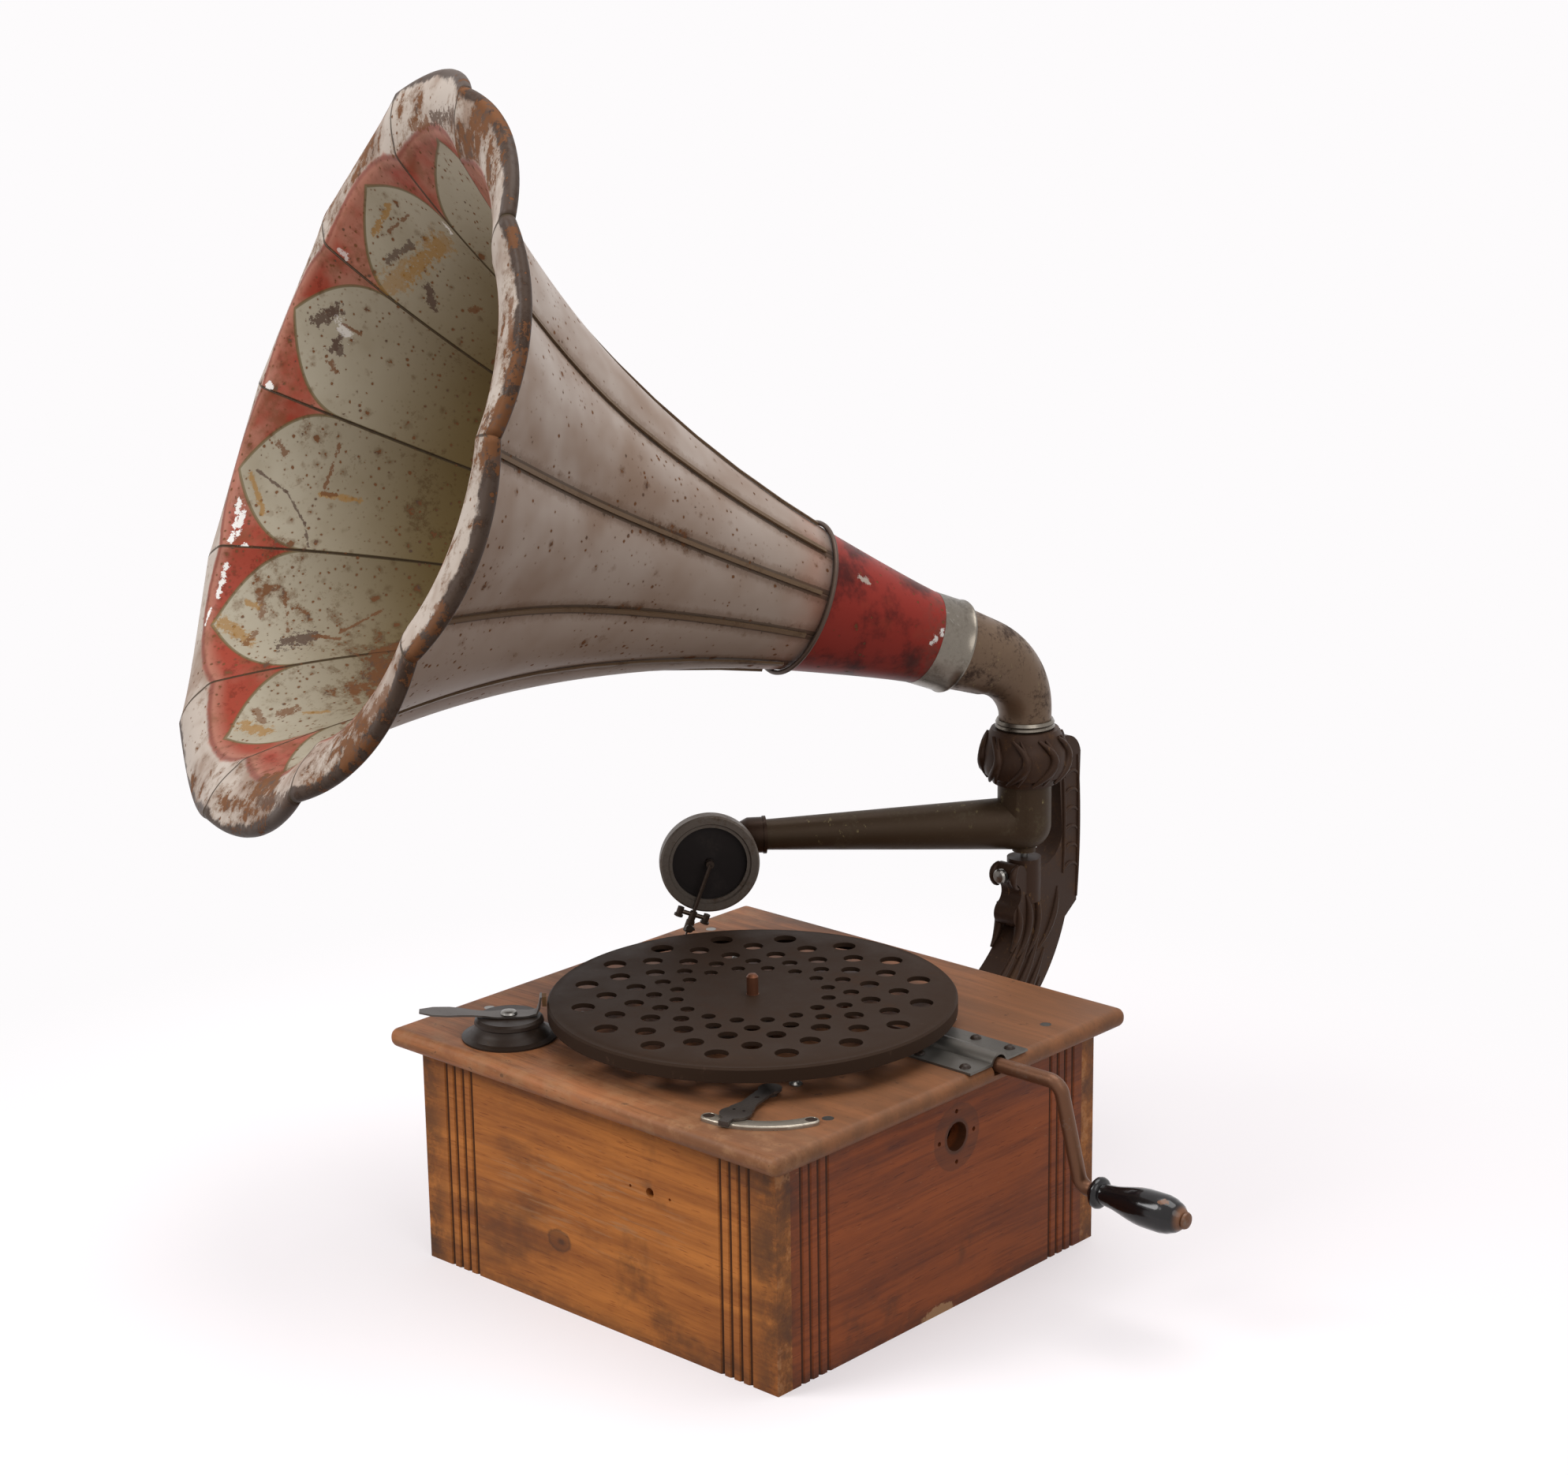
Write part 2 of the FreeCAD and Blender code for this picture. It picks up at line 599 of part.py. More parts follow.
def mainspring_barrel():
    """A drum whose floor carries the great wheel's teeth."""
    bore = ARBOR_RADIUS + size("fit_gap")
    outside = size("barrel_radius")
    drum = turned("Drum", [(bore, BARREL_FLOOR), (outside, BARREL_FLOOR), (outside, BARREL_LID),
                           (outside - 2, BARREL_LID), (outside - 2, BARREL_FLOOR + 2), (bore, BARREL_FLOOR + 2)],
                  at(ARBOR_X, ARBOR_Y, 0))
    turn = mesh_turn(size("barrel_teeth"), heading(ARBOR_X, ARBOR_Y, MIDDLE_X, MIDDLE_Y), True)
    wheel = made("GreatWheel", gear_blank(size("gear_module"), int(size("barrel_teeth")), FACE, bore, turn),
                 at(ARBOR_X, ARBOR_Y, GEAR_LEVEL))
    return fuse("Barrel", [drum, wheel])


def barrel_cover():
    bore = ARBOR_RADIUS + size("fit_gap")
    return turned("BarrelLid", [(bore, BARREL_LID), (size("barrel_radius"), BARREL_LID),
                                (size("barrel_radius"), BARREL_LID + 1.6), (bore + 6, BARREL_LID + 1.6),
                                (bore + 5, BARREL_LID + 3), (bore, BARREL_LID + 3)], at(ARBOR_X, ARBOR_Y, 0))


def mainspring():
    """The wound steel ribbon as one band, from the drum wall inwards."""
    inner = ARBOR_RADIUS + 6
    outer = size("barrel_radius") - 2 - size("run_gap")
    return turned("Ribbon", [(inner, BARREL_FLOOR + 3), (outer, BARREL_FLOOR + 3), (outer, BARREL_LID - 1),
                             (inner, BARREL_LID - 1)], at(ARBOR_X, ARBOR_Y, 0))


CROWN_TEETH = 28
PINION_TEETH = 12
WINDING_PITCH = 4.71
CROWN_RADIUS = CROWN_TEETH * WINDING_PITCH / (2 * math.pi)
PINION_RADIUS = PINION_TEETH * WINDING_PITCH / (2 * math.pi)
CROWN_BASE = CRANK_Z - PINION_RADIUS - 3
CROWN_HALF_FACE = 2.8


def barrel_arbor():
    """The winding arbor with the hook that holds the spring's inner end and a collar under the upper plate."""
    top = CROWN_BASE + 5
    return turned("Arbor", [(0, LOWER_UNDER), (ARBOR_RADIUS, LOWER_UNDER), (ARBOR_RADIUS, BARREL_FLOOR + 2.5),
                            (ARBOR_RADIUS + 5, BARREL_FLOOR + 2.5), (ARBOR_RADIUS + 5, BARREL_LID - 0.5),
                            (ARBOR_RADIUS, BARREL_LID - 0.5), (ARBOR_RADIUS, top), (0, top)],
                  at(ARBOR_X, ARBOR_Y, 0))


def winding_crown_wheel():
    """A flat wheel whose teeth stand up to meet the crank's pinion."""
    teeth = []
    outside = CROWN_RADIUS + CROWN_HALF_FACE
    blank = Part.makeCylinder(outside, 2.6, FreeCAD.Vector(0, 0, -2.6))
    low = 0.85
    high = 0.5
    side = [(-low, 0), (low, 0), (high, 4.6), (-high, 4.6)]
    corners = [FreeCAD.Vector(CROWN_RADIUS - CROWN_HALF_FACE, y, z) for y, z in side]
    outline = Part.Face(Part.makePolygon(corners + corners[:1]))
    for index in range(CROWN_TEETH):
        tooth = outline.extrude(FreeCAD.Vector(2 * CROWN_HALF_FACE, 0, 0))
        tooth.translate(FreeCAD.Vector(0, 0, -0.1))
        tooth.rotate(FreeCAD.Vector(), FreeCAD.Vector(0, 0, 1), (index + 0.5) * 360.0 / CROWN_TEETH)
        teeth.append(tooth)
    solid = blank.fuse(teeth).common(Part.makeCylinder(outside, 20, FreeCAD.Vector(0, 0, -5)))
    solid = solid.cut(Part.makeCylinder(ARBOR_RADIUS, 20, FreeCAD.Vector(0, 0, -5)))
    return made("CrownWheel", solid, at(ARBOR_X, ARBOR_Y, CROWN_BASE))


RATCHET_LEVEL = PLATE_UNDER - 5
RATCHET_TEETH = 16
RATCHET_RADIUS = 15


def ratchet_wheel():
    corners = []
    for tooth in range(RATCHET_TEETH):
        for radius, place in ((RATCHET_RADIUS - 2.6, tooth), (RATCHET_RADIUS, tooth + 0.92)):
            angle = math.radians(place * 360.0 / RATCHET_TEETH)
            corners.append(FreeCAD.Vector(radius * math.cos(angle), radius * math.sin(angle), 0))
    solid = Part.Face(Part.makePolygon(corners + corners[:1])).extrude(FreeCAD.Vector(0, 0, 3))
    solid = solid.cut(Part.makeCylinder(ARBOR_RADIUS, 5, FreeCAD.Vector(0, 0, -1)))
    return made("Ratchet", solid, at(ARBOR_X, ARBOR_Y, RATCHET_LEVEL))


def ratchet_pawl():
    """The click that rests on the ratchet, on a stud under the upper plate."""
    reach = RATCHET_RADIUS + size("run_gap") + 0.2
    blade = Part.makePolygon([FreeCAD.Vector(x, y, 0) for x, y in (
        (-2.4, 0), (-1.2, -10), (0.4, -12), (2.2, -9.5), (2.4, 0), (0, 2.6), (-2.4, 0))])
    solid = Part.Face(blade).extrude(FreeCAD.Vector(0, 0, 3))
    stud = Part.makeCylinder(1.2, PLATE_UNDER - RATCHET_LEVEL, FreeCAD.Vector(0, 0, 0))
    return made("Pawl", solid.fuse(stud), at(ARBOR_X - reach - 2.3, ARBOR_Y + 12, RATCHET_LEVEL))


def intermediate_shaft():
    return turned("MiddleShaft", [(0, LOWER_UNDER), (MIDDLE_SHAFT, LOWER_UNDER), (MIDDLE_SHAFT, PLATE_TOP),
                                  (0, PLATE_TOP)], at(MIDDLE_X, MIDDLE_Y, 0))


def intermediate_pinion():
    teeth = int(size("middle_pinion_teeth"))
    turn = mesh_turn(teeth, heading(MIDDLE_X, MIDDLE_Y, ARBOR_X, ARBOR_Y), False)
    return made("MiddlePinion", gear_blank(size("gear_module"), teeth, FACE + 1, MIDDLE_SHAFT, turn),
                at(MIDDLE_X, MIDDLE_Y, GEAR_LEVEL - 0.5))


def intermediate_wheel():
    teeth = int(size("middle_teeth"))
    turn = mesh_turn(teeth, heading(MIDDLE_X, MIDDLE_Y, SPINDLE_X, SPINDLE_Y), True)
    return made("MiddleWheel", gear_blank(size("fast_module"), teeth, FACE - 1, MIDDLE_SHAFT, turn),
                at(MIDDLE_X, MIDDLE_Y, WHEEL_LEVEL))


def spindle_pinion():
    teeth = int(size("spindle_teeth"))
    turn = mesh_turn(teeth, heading(SPINDLE_X, SPINDLE_Y, MIDDLE_X, MIDDLE_Y), False)
    return made("SpindlePinion", gear_blank(size("fast_module"), teeth, FACE, size("spindle_shaft"), turn),
                at(SPINDLE_X, SPINDLE_Y, WHEEL_LEVEL - 0.5))


def governor_wheel():
    teeth = int(size("governor_wheel_teeth"))
    return made("GovernorWheel", gear_blank(size("worm_module"), teeth, 5, size("spindle_shaft")),
                at(SPINDLE_X, SPINDLE_Y, GOVERNOR_LEVEL - 2.5))


def turntable_spindle():
    top = PLATTER_TOP + size("spindle_tip")
    wide = size("spindle_shaft")
    pin = size("spindle_radius")
    return turned("Spindle", [(0, LOWER_UNDER), (wide, LOWER_UNDER), (wide, PLATTER_TOP), (pin, PLATTER_TOP),
                              (pin, top - 2), (pin - 1.2, top - 0.4), (pin - 2.5, top), (0, top)],
                  at(SPINDLE_X, SPINDLE_Y, 0))


def governor_shaft():
    """The fast shaft with its worm of six threads, cut as close rings."""
    length = GOVERNOR_END - GOVERNOR_START
    outline = [(0, 0), (2, 0), (2, 14.2)]
    for ring in range(9):
        low = 15 + ring * 1.9
        outline += [(WORM_RADIUS - 1.1, low), (WORM_RADIUS, low + 0.6), (WORM_RADIUS, low + 0.9),
                    (WORM_RADIUS - 1.1, low + 1.5)]
    outline += [(2, 32.6), (2, length), (0, length)]
    return turned("GovernorShaft", outline, at(GOVERNOR_START, GOVERNOR_Y, GOVERNOR_LEVEL, ALONG_X))


WEIGHT_TURN = 120
WEIGHT_OUT = 12
HUB_FIXED = 40
HUB_SLIDING = 74


def governor_hubs():
    """The fixed hub, screwed to the shaft."""
    return turned("FixedHub", [(2, HUB_FIXED), (5, HUB_FIXED), (5, HUB_FIXED + 5), (2, HUB_FIXED + 5)],
                  at(GOVERNOR_START, GOVERNOR_Y, GOVERNOR_LEVEL, ALONG_X))


def governor_disc():
    """The sliding hub with the friction disc."""
    low = HUB_SLIDING
    return turned("Disc", [(2, low), (5, low), (5, low + 4), (14, low + 4), (14, low + 6), (2, low + 6)],
                  at(GOVERNOR_START, GOVERNOR_Y, GOVERNOR_LEVEL, ALONG_X))


def around_governor(name, make):
    """Three copies round the governor shaft, each a solid of its own."""
    copies = []
    for index in range(3):
        turn = FreeCAD.Rotation(FreeCAD.Vector(1, 0, 0), index * WEIGHT_TURN)
        copies.append(made("%s%d" % (name, index), make(), at(GOVERNOR_START, GOVERNOR_Y, GOVERNOR_LEVEL, turn)))
    return gather(name + "s", copies)


def governor_spring():
    """A leaf from the fixed hub out to the weight and back to the sliding hub."""
    middle = (HUB_FIXED + 5 + HUB_SLIDING) / 2
    bottom = [(HUB_FIXED, 5), (HUB_FIXED + 5, 5), (middle - 5, WEIGHT_OUT - 5), (middle + 5, WEIGHT_OUT - 5),
              (HUB_SLIDING, 5), (HUB_SLIDING + 4, 5)]
    top = [(x, z + 0.5) for x, z in reversed(bottom)]
    corners = [FreeCAD.Vector(x, -1.5, z) for x, z in bottom + top]
    return Part.Face(Part.makePolygon(corners + corners[:1])).extrude(FreeCAD.Vector(0, 3, 0))


def governor_weight():
    middle = (HUB_FIXED + 5 + HUB_SLIDING) / 2
    ball = Part.makeSphere(5, FreeCAD.Vector(middle, 0, WEIGHT_OUT - 4.5 + 4))
    return ball.common(Part.makeBox(20, 20, 20, FreeCAD.Vector(middle - 10, -10, WEIGHT_OUT - 4.5)))


def governor_bearings():
    """Two pillars under the upper plate that carry the governor shaft's ends."""
    bearings = []
    for index, x in enumerate((GOVERNOR_START + 2, GOVERNOR_END - 7)):
        post = box("GovernorPost%d" % index, "5", "9", str(PLATE_UNDER - GOVERNOR_LEVEL + 5), str(x),
                   str(GOVERNOR_Y - 4.5), str(GOVERNOR_LEVEL - 5))
        bore = rod("GovernorBore%d" % index, "2 + fit_gap", "7", str(x - 1), str(GOVERNOR_Y), str(GOVERNOR_LEVEL),
                   ALONG_X)
        bearings.append(cut("GovernorBearing%d" % index, post, [bore]))
    return gather("GovernorBearings", bearings)


piece(turntable_platter(), "turntable_platter")
piece(fuse("SpindleSet", [turntable_spindle(), spindle_pinion()]), "turntable_spindle")
piece(motor_sheet("UpperPlate", PLATE_UNDER), "motor_upper_plate")
piece(motor_sheet("LowerPlate", LOWER_UNDER), "motor_lower_plate")
piece(gather("MotorPosts", [motor_pillars(), motor_spacers()]), "motor_pillars")
piece(gather("MotorFasteners", [motor_bolts(), motor_nuts()]), "motor_fasteners")
piece(mainspring_barrel(), "mainspring_barrel")
piece(barrel_cover(), "barrel_cover")
piece(mainspring(), "mainspring")
piece(fuse("ArborSet", [barrel_arbor(), ratchet_wheel()]), "barrel_arbor")
piece(winding_crown_wheel(), "winding_crown_wheel")
piece(ratchet_pawl(), "ratchet_pawl")
piece(fuse("MiddleArbor", [intermediate_shaft(), intermediate_pinion()]), "intermediate_pinion")
piece(intermediate_wheel(), "intermediate_wheel")
piece(governor_wheel(), "governor_wheel")
piece(fuse("GovernorArbor", [governor_shaft(), governor_hubs()]), "governor_shaft")
piece(governor_disc(), "governor_disc")
piece(around_governor("GovernorSpring", governor_spring), "governor_springs")
piece(around_governor("GovernorWeight", governor_weight), "governor_weights")
piece(governor_bearings(), "governor_bearings")


# Winding crank

ARM_TURN = FreeCAD.Rotation(FreeCAD.Vector(1, 0, 0), size("crank_rest_turn"))
PINION_START = ARBOR_X + CROWN_RADIUS - 2.5
PINION_FACE = 5
PIN_RADIUS = 3
HANDLE_START = size("crank_reach") + 12
HANDLE_END = HANDLE_START + size("handle_length")


def bent_wire(points, radius):
    """Straight runs through the points, joined by tangent arcs of one radius."""
    corners = [FreeCAD.Vector(*point) for point in points]
    edges = []
    last = corners[0]
    for before, corner, after in zip(corners, corners[1:], corners[2:]):
        back = (before - corner).normalize()
        ahead = (after - corner).normalize()
        half = back.getAngle(ahead) / 2
        run = radius / math.tan(half)
        start = corner + back * run
        finish = corner + ahead * run
        middle = corner + (back + ahead).normalize() * (radius / math.sin(half) - radius)
        edges.append(Part.LineSegment(last, start).toShape())
        edges.append(Part.Arc(start, middle, finish).toShape())
        last = finish
    edges.append(Part.LineSegment(last, corners[-1]).toShape())
    return Part.Wire(edges)


def bent_rod(points, bend, radius):
    """A round bar along bent_wire, starting along its first run."""
    path = bent_wire(points, bend)
    start = FreeCAD.Vector(*points[0])
    ring = Part.Wire(Part.Circle(start, FreeCAD.Vector(*points[1]) - start, radius).toShape())
    return path.makePipeShell([ring], True, True)


def crank_at_rest(rotation=UPRIGHT):
    return at(0, CRANK_Y, CRANK_Z, ARM_TURN * rotation)


def winding_crank():
    """The bent rod, its turned-down inner end and the pin that carries the handle."""
    reach = size("crank_reach")
    throw = size("crank_throw")
    start = PINION_START + PINION_FACE
    rod_shape = bent_rod([(start, 0, 0), (reach, 0, 0), (reach + 3, 0, -throw), (HANDLE_START, 0, -throw)],
                         size("crank_bend"), size("crank_rod_radius"))
    inner = Part.makeCylinder(PIN_RADIUS, PINION_FACE, FreeCAD.Vector(PINION_START, 0, 0), FreeCAD.Vector(1, 0, 0))
    pin = Part.makeCylinder(PIN_RADIUS, HANDLE_END - HANDLE_START - 2, FreeCAD.Vector(HANDLE_START, 0, -throw),
                            FreeCAD.Vector(1, 0, 0))
    return made("CrankRod", rod_shape.fuse([inner, pin]), crank_at_rest())


def crank_pinion():
    outline = gear_outline(WINDING_PITCH / math.pi, PINION_TEETH, 1.7, 2.3, 0.1, 0.24)
    solid = Part.Face(outline).extrude(FreeCAD.Vector(0, 0, PINION_FACE))
    solid = solid.cut(Part.makeCylinder(PIN_RADIUS, PINION_FACE + 2, FreeCAD.Vector(0, 0, -1)))
    solid.rotate(FreeCAD.Vector(), FreeCAD.Vector(0, 0, 1), -size("crank_rest_turn"))
    solid.rotate(FreeCAD.Vector(), FreeCAD.Vector(0, 1, 0), 90)
    solid.translate(FreeCAD.Vector(PINION_START, 0, 0))
    return made("CrankPinion", solid, at(0, CRANK_Y, CRANK_Z, ARM_TURN))


def crank_handle():
    """The turned grip: collar bead, neck and a full body that rounds off at its end."""
    bore = PIN_RADIUS + size("fit_gap")
    full = size("handle_radius")
    length = size("handle_length")
    outline = [(bore, 0.4), (6.5, 0.4)]
    outline += arc_points((6.5, 4.6), 3.2, -90, 90, 6)
    outline += [(6.4, 9), (6.6, 12)]
    for step in range(1, 10):
        share = step / 10
        outline.append((6.6 + (full - 6.6) * math.sin(math.pi / 2 * min(1, share * 1.5)) ** 1.5,
                        12 + (length - 22) * share))
    outline += [(full - 0.8, length - 10), (full - 2.8, length - 5), (full - 6, length - 1.2), (bore, length)]
    body = turned("Handle", outline, crank_at_rest())
    body.Placement = at(0, CRANK_Y, CRANK_Z, ARM_TURN).multiply(at(HANDLE_START, 0, -size("crank_throw"), ALONG_X))
    return body


def crank_end_rivet():
    outline = [(0, -2), (PIN_RADIUS, -2), (PIN_RADIUS, 0.4), (5.2, 0.4), (4.6, 1.6), (3, 2.4), (0, 2.8)]
    body = turned("EndRivet", outline)
    body.Placement = at(0, CRANK_Y, CRANK_Z, ARM_TURN).multiply(at(HANDLE_END, 0, -size("crank_throw"), ALONG_X))
    return body


PLATE_END = HALF_WIDTH + size("top_overhang") - 0.5


def winding_screw_places():
    half = size("plate_wide") / 2 - 6
    return [(PLATE_END - 44, -half), (PLATE_END - 9, -half), (PLATE_END - 35, half), (PLATE_END - 9, half)]


def winding_plate():
    """The pressed plate: flat wings and a raised channel over the shaft."""
    flat = box("PlateFlat", "%r - plate_start" % PLATE_END, "plate_wide", "plate_thick", "plate_start",
               "crank_y - plate_wide / 2", str(BOARD_TOP))
    crown = rod("PlateCrown", "channel_radius + plate_thick", "%r - plate_start" % PLATE_END, "plate_start",
                "crank_y", str(CRANK_Z), ALONG_X)
    hollow = rod("PlateHollow", "channel_radius", "%r - plate_start + 2" % PLATE_END, "plate_start - 1", "crank_y",
                 str(CRANK_Z), ALONG_X)
    below = box("PlateBelow", "%r - plate_start + 2" % PLATE_END, "2 * plate_wide", "20", "plate_start - 1",
                "crank_y - plate_wide", str(BOARD_TOP - 20))
    holes = [rod("PlateScrewHole%d" % index, "1.7", "plate_thick + 2", str(x), "crank_y + %r" % y,
                 str(BOARD_TOP - 1)) for index, (x, y) in enumerate(winding_screw_places())]
    return cut("WindingPlate", fuse("PlateSheet", [flat, crown]), [hollow, below] + holes)


def round_screw(name, x, y, z, length, head=3.6, turn=UPRIGHT):
    """A round-headed screw; its head sits on (x, y, z) and its shank runs down."""
    body = turned(name, [(0, 2.2), (1.6, 2.0), (2.9, 1.2), (head, 0), (1.6, 0), (1.6, -length + 3), (0, -length)],
                  at(x, y, z, turn))
    return body


def winding_plate_screws():
    return gather("WindingPlateScrews", [
        round_screw("PlateScrew%d" % index, x, CRANK_Y + y, BOARD_TOP + size("plate_thick"), 11)
        for index, (x, y) in enumerate(winding_screw_places())])


def crank_bush():
    """The steel ring that carries the winding rod in the board's notch, under the channel."""
    return turned("CrankBush", [(size("crank_rod_radius") + size("fit_gap"), 0), (5.45, 0), (5.45, 10),
                                (size("crank_rod_radius") + size("fit_gap"), 10)],
                  at(PLATE_END - 16, CRANK_Y, CRANK_Z, ALONG_X))


def crank_inner_bearing():
    block = box("InnerBlock", "9", "2 * crank_rod_radius + 2", "12", str(SPINDLE_X + 12),
                "crank_y - crank_rod_radius - 1", str(CRANK_Z - size("crank_rod_radius") - 1))
    foot = box("InnerFoot", "9", "30", "1.6", str(SPINDLE_X + 12), "crank_y - 15", str(BOARD_TOP))
    bore = rod("InnerBore", "crank_rod_radius + fit_gap", "12", str(SPINDLE_X + 11), "crank_y", str(CRANK_Z),
               ALONG_X)
    return cut("InnerBearing", fuse("InnerBody", [block, foot]), [bore])


# Speed lever and its strip

SPEED_X = size("speed_x")
SPEED_Y = size("speed_y")
STRIP_LOW = 45.5
STRIP_HIGH = 55


def at_speed(radius, degrees, z=0.0):
    angle = math.radians(degrees)
    return FreeCAD.Vector(SPEED_X + radius * math.cos(angle), SPEED_Y + radius * math.sin(angle), z)


def speed_screw_places():
    middle = (STRIP_LOW + STRIP_HIGH) / 2
    return [at_speed(middle, -91), at_speed(middle, -20)]


def speed_strip():
    """A raised nickel strip, bent round the lever's pivot, with round ends and two sunk screw holes."""
    middle = (STRIP_LOW + STRIP_HIGH) / 2
    half = (STRIP_HIGH - STRIP_LOW) / 2
    inner = Part.Arc(at_speed(STRIP_LOW, -20), at_speed(STRIP_LOW, -55), at_speed(STRIP_LOW, -91)).toShape()
    outer = Part.Arc(at_speed(STRIP_HIGH, -91), at_speed(STRIP_HIGH, -55), at_speed(STRIP_HIGH, -20)).toShape()
    left = Part.Arc(at_speed(STRIP_LOW, -91), at_speed(middle, -91) + FreeCAD.Vector(-half, 0, 0),
                    at_speed(STRIP_HIGH, -91)).toShape()
    tip = math.radians(-20)
    beyond = at_speed(middle, -20) + FreeCAD.Vector(-half * math.sin(tip), half * math.cos(tip), 0)
    right = Part.Arc(at_speed(STRIP_HIGH, -20), beyond, at_speed(STRIP_LOW, -20)).toShape()
    solid = Part.Face(Part.Wire([inner, left, outer, right])).extrude(FreeCAD.Vector(0, 0, 2.6))
    edges = [edge for edge in solid.Edges if edge.BoundBox.ZMin > 2.5]
    solid = solid.makeFillet(1.1, edges)
    for place in speed_screw_places():
        solid = solid.cut(Part.makeCylinder(1.7, 5, place - FreeCAD.Vector(0, 0, 1)))
        solid = solid.cut(Part.makeCone(1.7, 3.6, 2.3, place + FreeCAD.Vector(0, 0, 0.35)))
    return made("SpeedStrip", solid, at(0, 0, BOARD_TOP))


def speed_strip_screws():
    return gather("SpeedStripScrews", [wood_screw("StripScrew%d" % index, place.x, place.y, BOARD_TOP + 2.5, 11)
                                       for index, place in enumerate(speed_screw_places())])


SPEED_REST = -75
LEVER_LEVEL = BOARD_TOP + 2.9
LEVER_THICK = 1.5
LEVER_SHAFT = 4
SHAFT_FOOT = GOVERNOR_LEVEL - 6 - LEVER_LEVEL
PAD_X = GOVERNOR_START + HUB_SLIDING + 6.8


def speed_lever():
    """Neck, round disc with two small holes, a clip over the strip, and the shaft down to the motor."""
    hub = Part.makeCylinder(7, LEVER_THICK)
    neck_points = [(0, -5), (26, -5), (34, -7.5), (44, -7.5), (44, 7.5), (34, 7.5), (26, 5), (0, 5)]
    corners = [FreeCAD.Vector(x, y, 0) for x, y in neck_points]
    neck = Part.Face(Part.makePolygon(corners + corners[:1])).extrude(FreeCAD.Vector(0, 0, LEVER_THICK))
    disc = Part.makeCylinder(9.4, LEVER_THICK, FreeCAD.Vector(42, 0, 0))
    tab = Part.makeBox(13, 6.4, LEVER_THICK, FreeCAD.Vector(44, -3.2, 0))
    lip = Part.makeBox(LEVER_THICK, 6.4, 3, FreeCAD.Vector(55.5, -3.2, -3 + LEVER_THICK))
    shaft = Part.makeCylinder(LEVER_SHAFT, -SHAFT_FOOT, FreeCAD.Vector(0, 0, SHAFT_FOOT))
    solid = hub.fuse([neck, disc, tab, lip, shaft])
    for y in (-3.2, 3.2):
        solid = solid.cut(Part.makeCylinder(1, 5, FreeCAD.Vector(38, y, -1)))
    solid = solid.cut(Part.makeCylinder(1.6, 5, FreeCAD.Vector(16, 0, -1)))
    turn = FreeCAD.Rotation(FreeCAD.Vector(0, 0, 1), SPEED_REST)
    return made("SpeedLever", solid, at(SPEED_X, SPEED_Y, LEVER_LEVEL, turn))


def friction_arm():
    """The arm on the lever's shaft that brings a leather pad towards the governor disc."""
    dx = PAD_X + 3 - SPEED_X
    dy = GOVERNOR_Y - 9 - SPEED_Y
    length = math.hypot(dx, dy)
    turn = FreeCAD.Rotation(FreeCAD.Vector(0, 0, 1), math.degrees(math.atan2(dy, dx)))
    bore = Part.makeCylinder(LEVER_SHAFT + size("fit_gap"), 8, FreeCAD.Vector(0, 0, -1))
    clamp = Part.makeCylinder(7, 6).cut(bore)
    arm = Part.makeBox(length - 4, 3, 6, FreeCAD.Vector(5.5, -1.5, 0))
    return made("FrictionArm", clamp.fuse(arm), at(SPEED_X, SPEED_Y, GOVERNOR_LEVEL - 3, turn))


def friction_pad():
    return box("FrictionPad", "2.4", "5", "6", str(PAD_X), str(GOVERNOR_Y - 11.5), str(GOVERNOR_LEVEL - 3))


# Platter brake

BRAKE_X = size("brake_x")
BRAKE_Y = size("brake_y")
BRAKE_TOP = BOARD_TOP + size("brake_height")
BRAKE_HEADING = heading(BRAKE_X, BRAKE_Y, SPINDLE_X, SPINDLE_Y)
PAD_THICK = 2.6
PAD_FACE = math.hypot(SPINDLE_X - BRAKE_X, SPINDLE_Y - BRAKE_Y) - size("platter_radius") - size("run_gap")


def brake_base():
    flange = size("brake_flange")
    return turned("BrakeBase", [(0, 0), (flange, 0), (flange, 1.2), (flange - 4, 2.2), (flange - 7.5, 6),
                                (flange - 8.8, 8.8), (flange - 7.8, 9.6), (flange - 8.2, 11.6),
                                (flange - 9.8, size("brake_height")), (3.05, size("brake_height")), (3.05, 6),
                                (0, 6)], at(BRAKE_X, BRAKE_Y, BOARD_TOP))


def brake_lever():
    """A spring leaf: spoon tip, waist over the hub, then an upturned end towards the platter's rim."""
    stand = PAD_FACE - PAD_THICK
    thick = 1.2
    side = [(-54, 4.2), (-30, 2.6), (-10, 0.2), (12, 0), (17, 1), (stand - 1.2, 5), (stand, 12.4)]
    upper = [(stand - thick, 12.4), (stand - 2.4, 5.6), (16.6, 2.2), (11.8, thick), (-10, thick + 0.2), (-30, 3.8),
             (-54, 5.2)]
    corners = [FreeCAD.Vector(x, -12, z) for x, z in side + upper]
    leaf = Part.Face(Part.makePolygon(corners + corners[:1])).extrude(FreeCAD.Vector(0, 24, 0))
    half_plan = [(-54, 3), (-46, 7.2), (-36, 8), (-22, 5), (-14, 4.6), (-6, 6.4), (8, 6.4), (14, 5), (stand + 1, 4.6)]
    edge = [FreeCAD.Vector(x, -y, -1) for x, y in half_plan]
    edge += [FreeCAD.Vector(x, y, -1) for x, y in reversed(half_plan)]
    solid = leaf.common(Part.Face(Part.makePolygon(edge + edge[:1])).extrude(FreeCAD.Vector(0, 0, 20)))
    solid = solid.cut(Part.makeCylinder(3.05, 6, FreeCAD.Vector(0, 0, -1)))
    turn = FreeCAD.Rotation(FreeCAD.Vector(0, 0, 1), BRAKE_HEADING)
    return made("BrakeLever", solid, at(BRAKE_X, BRAKE_Y, BRAKE_TOP + 0.2, turn))


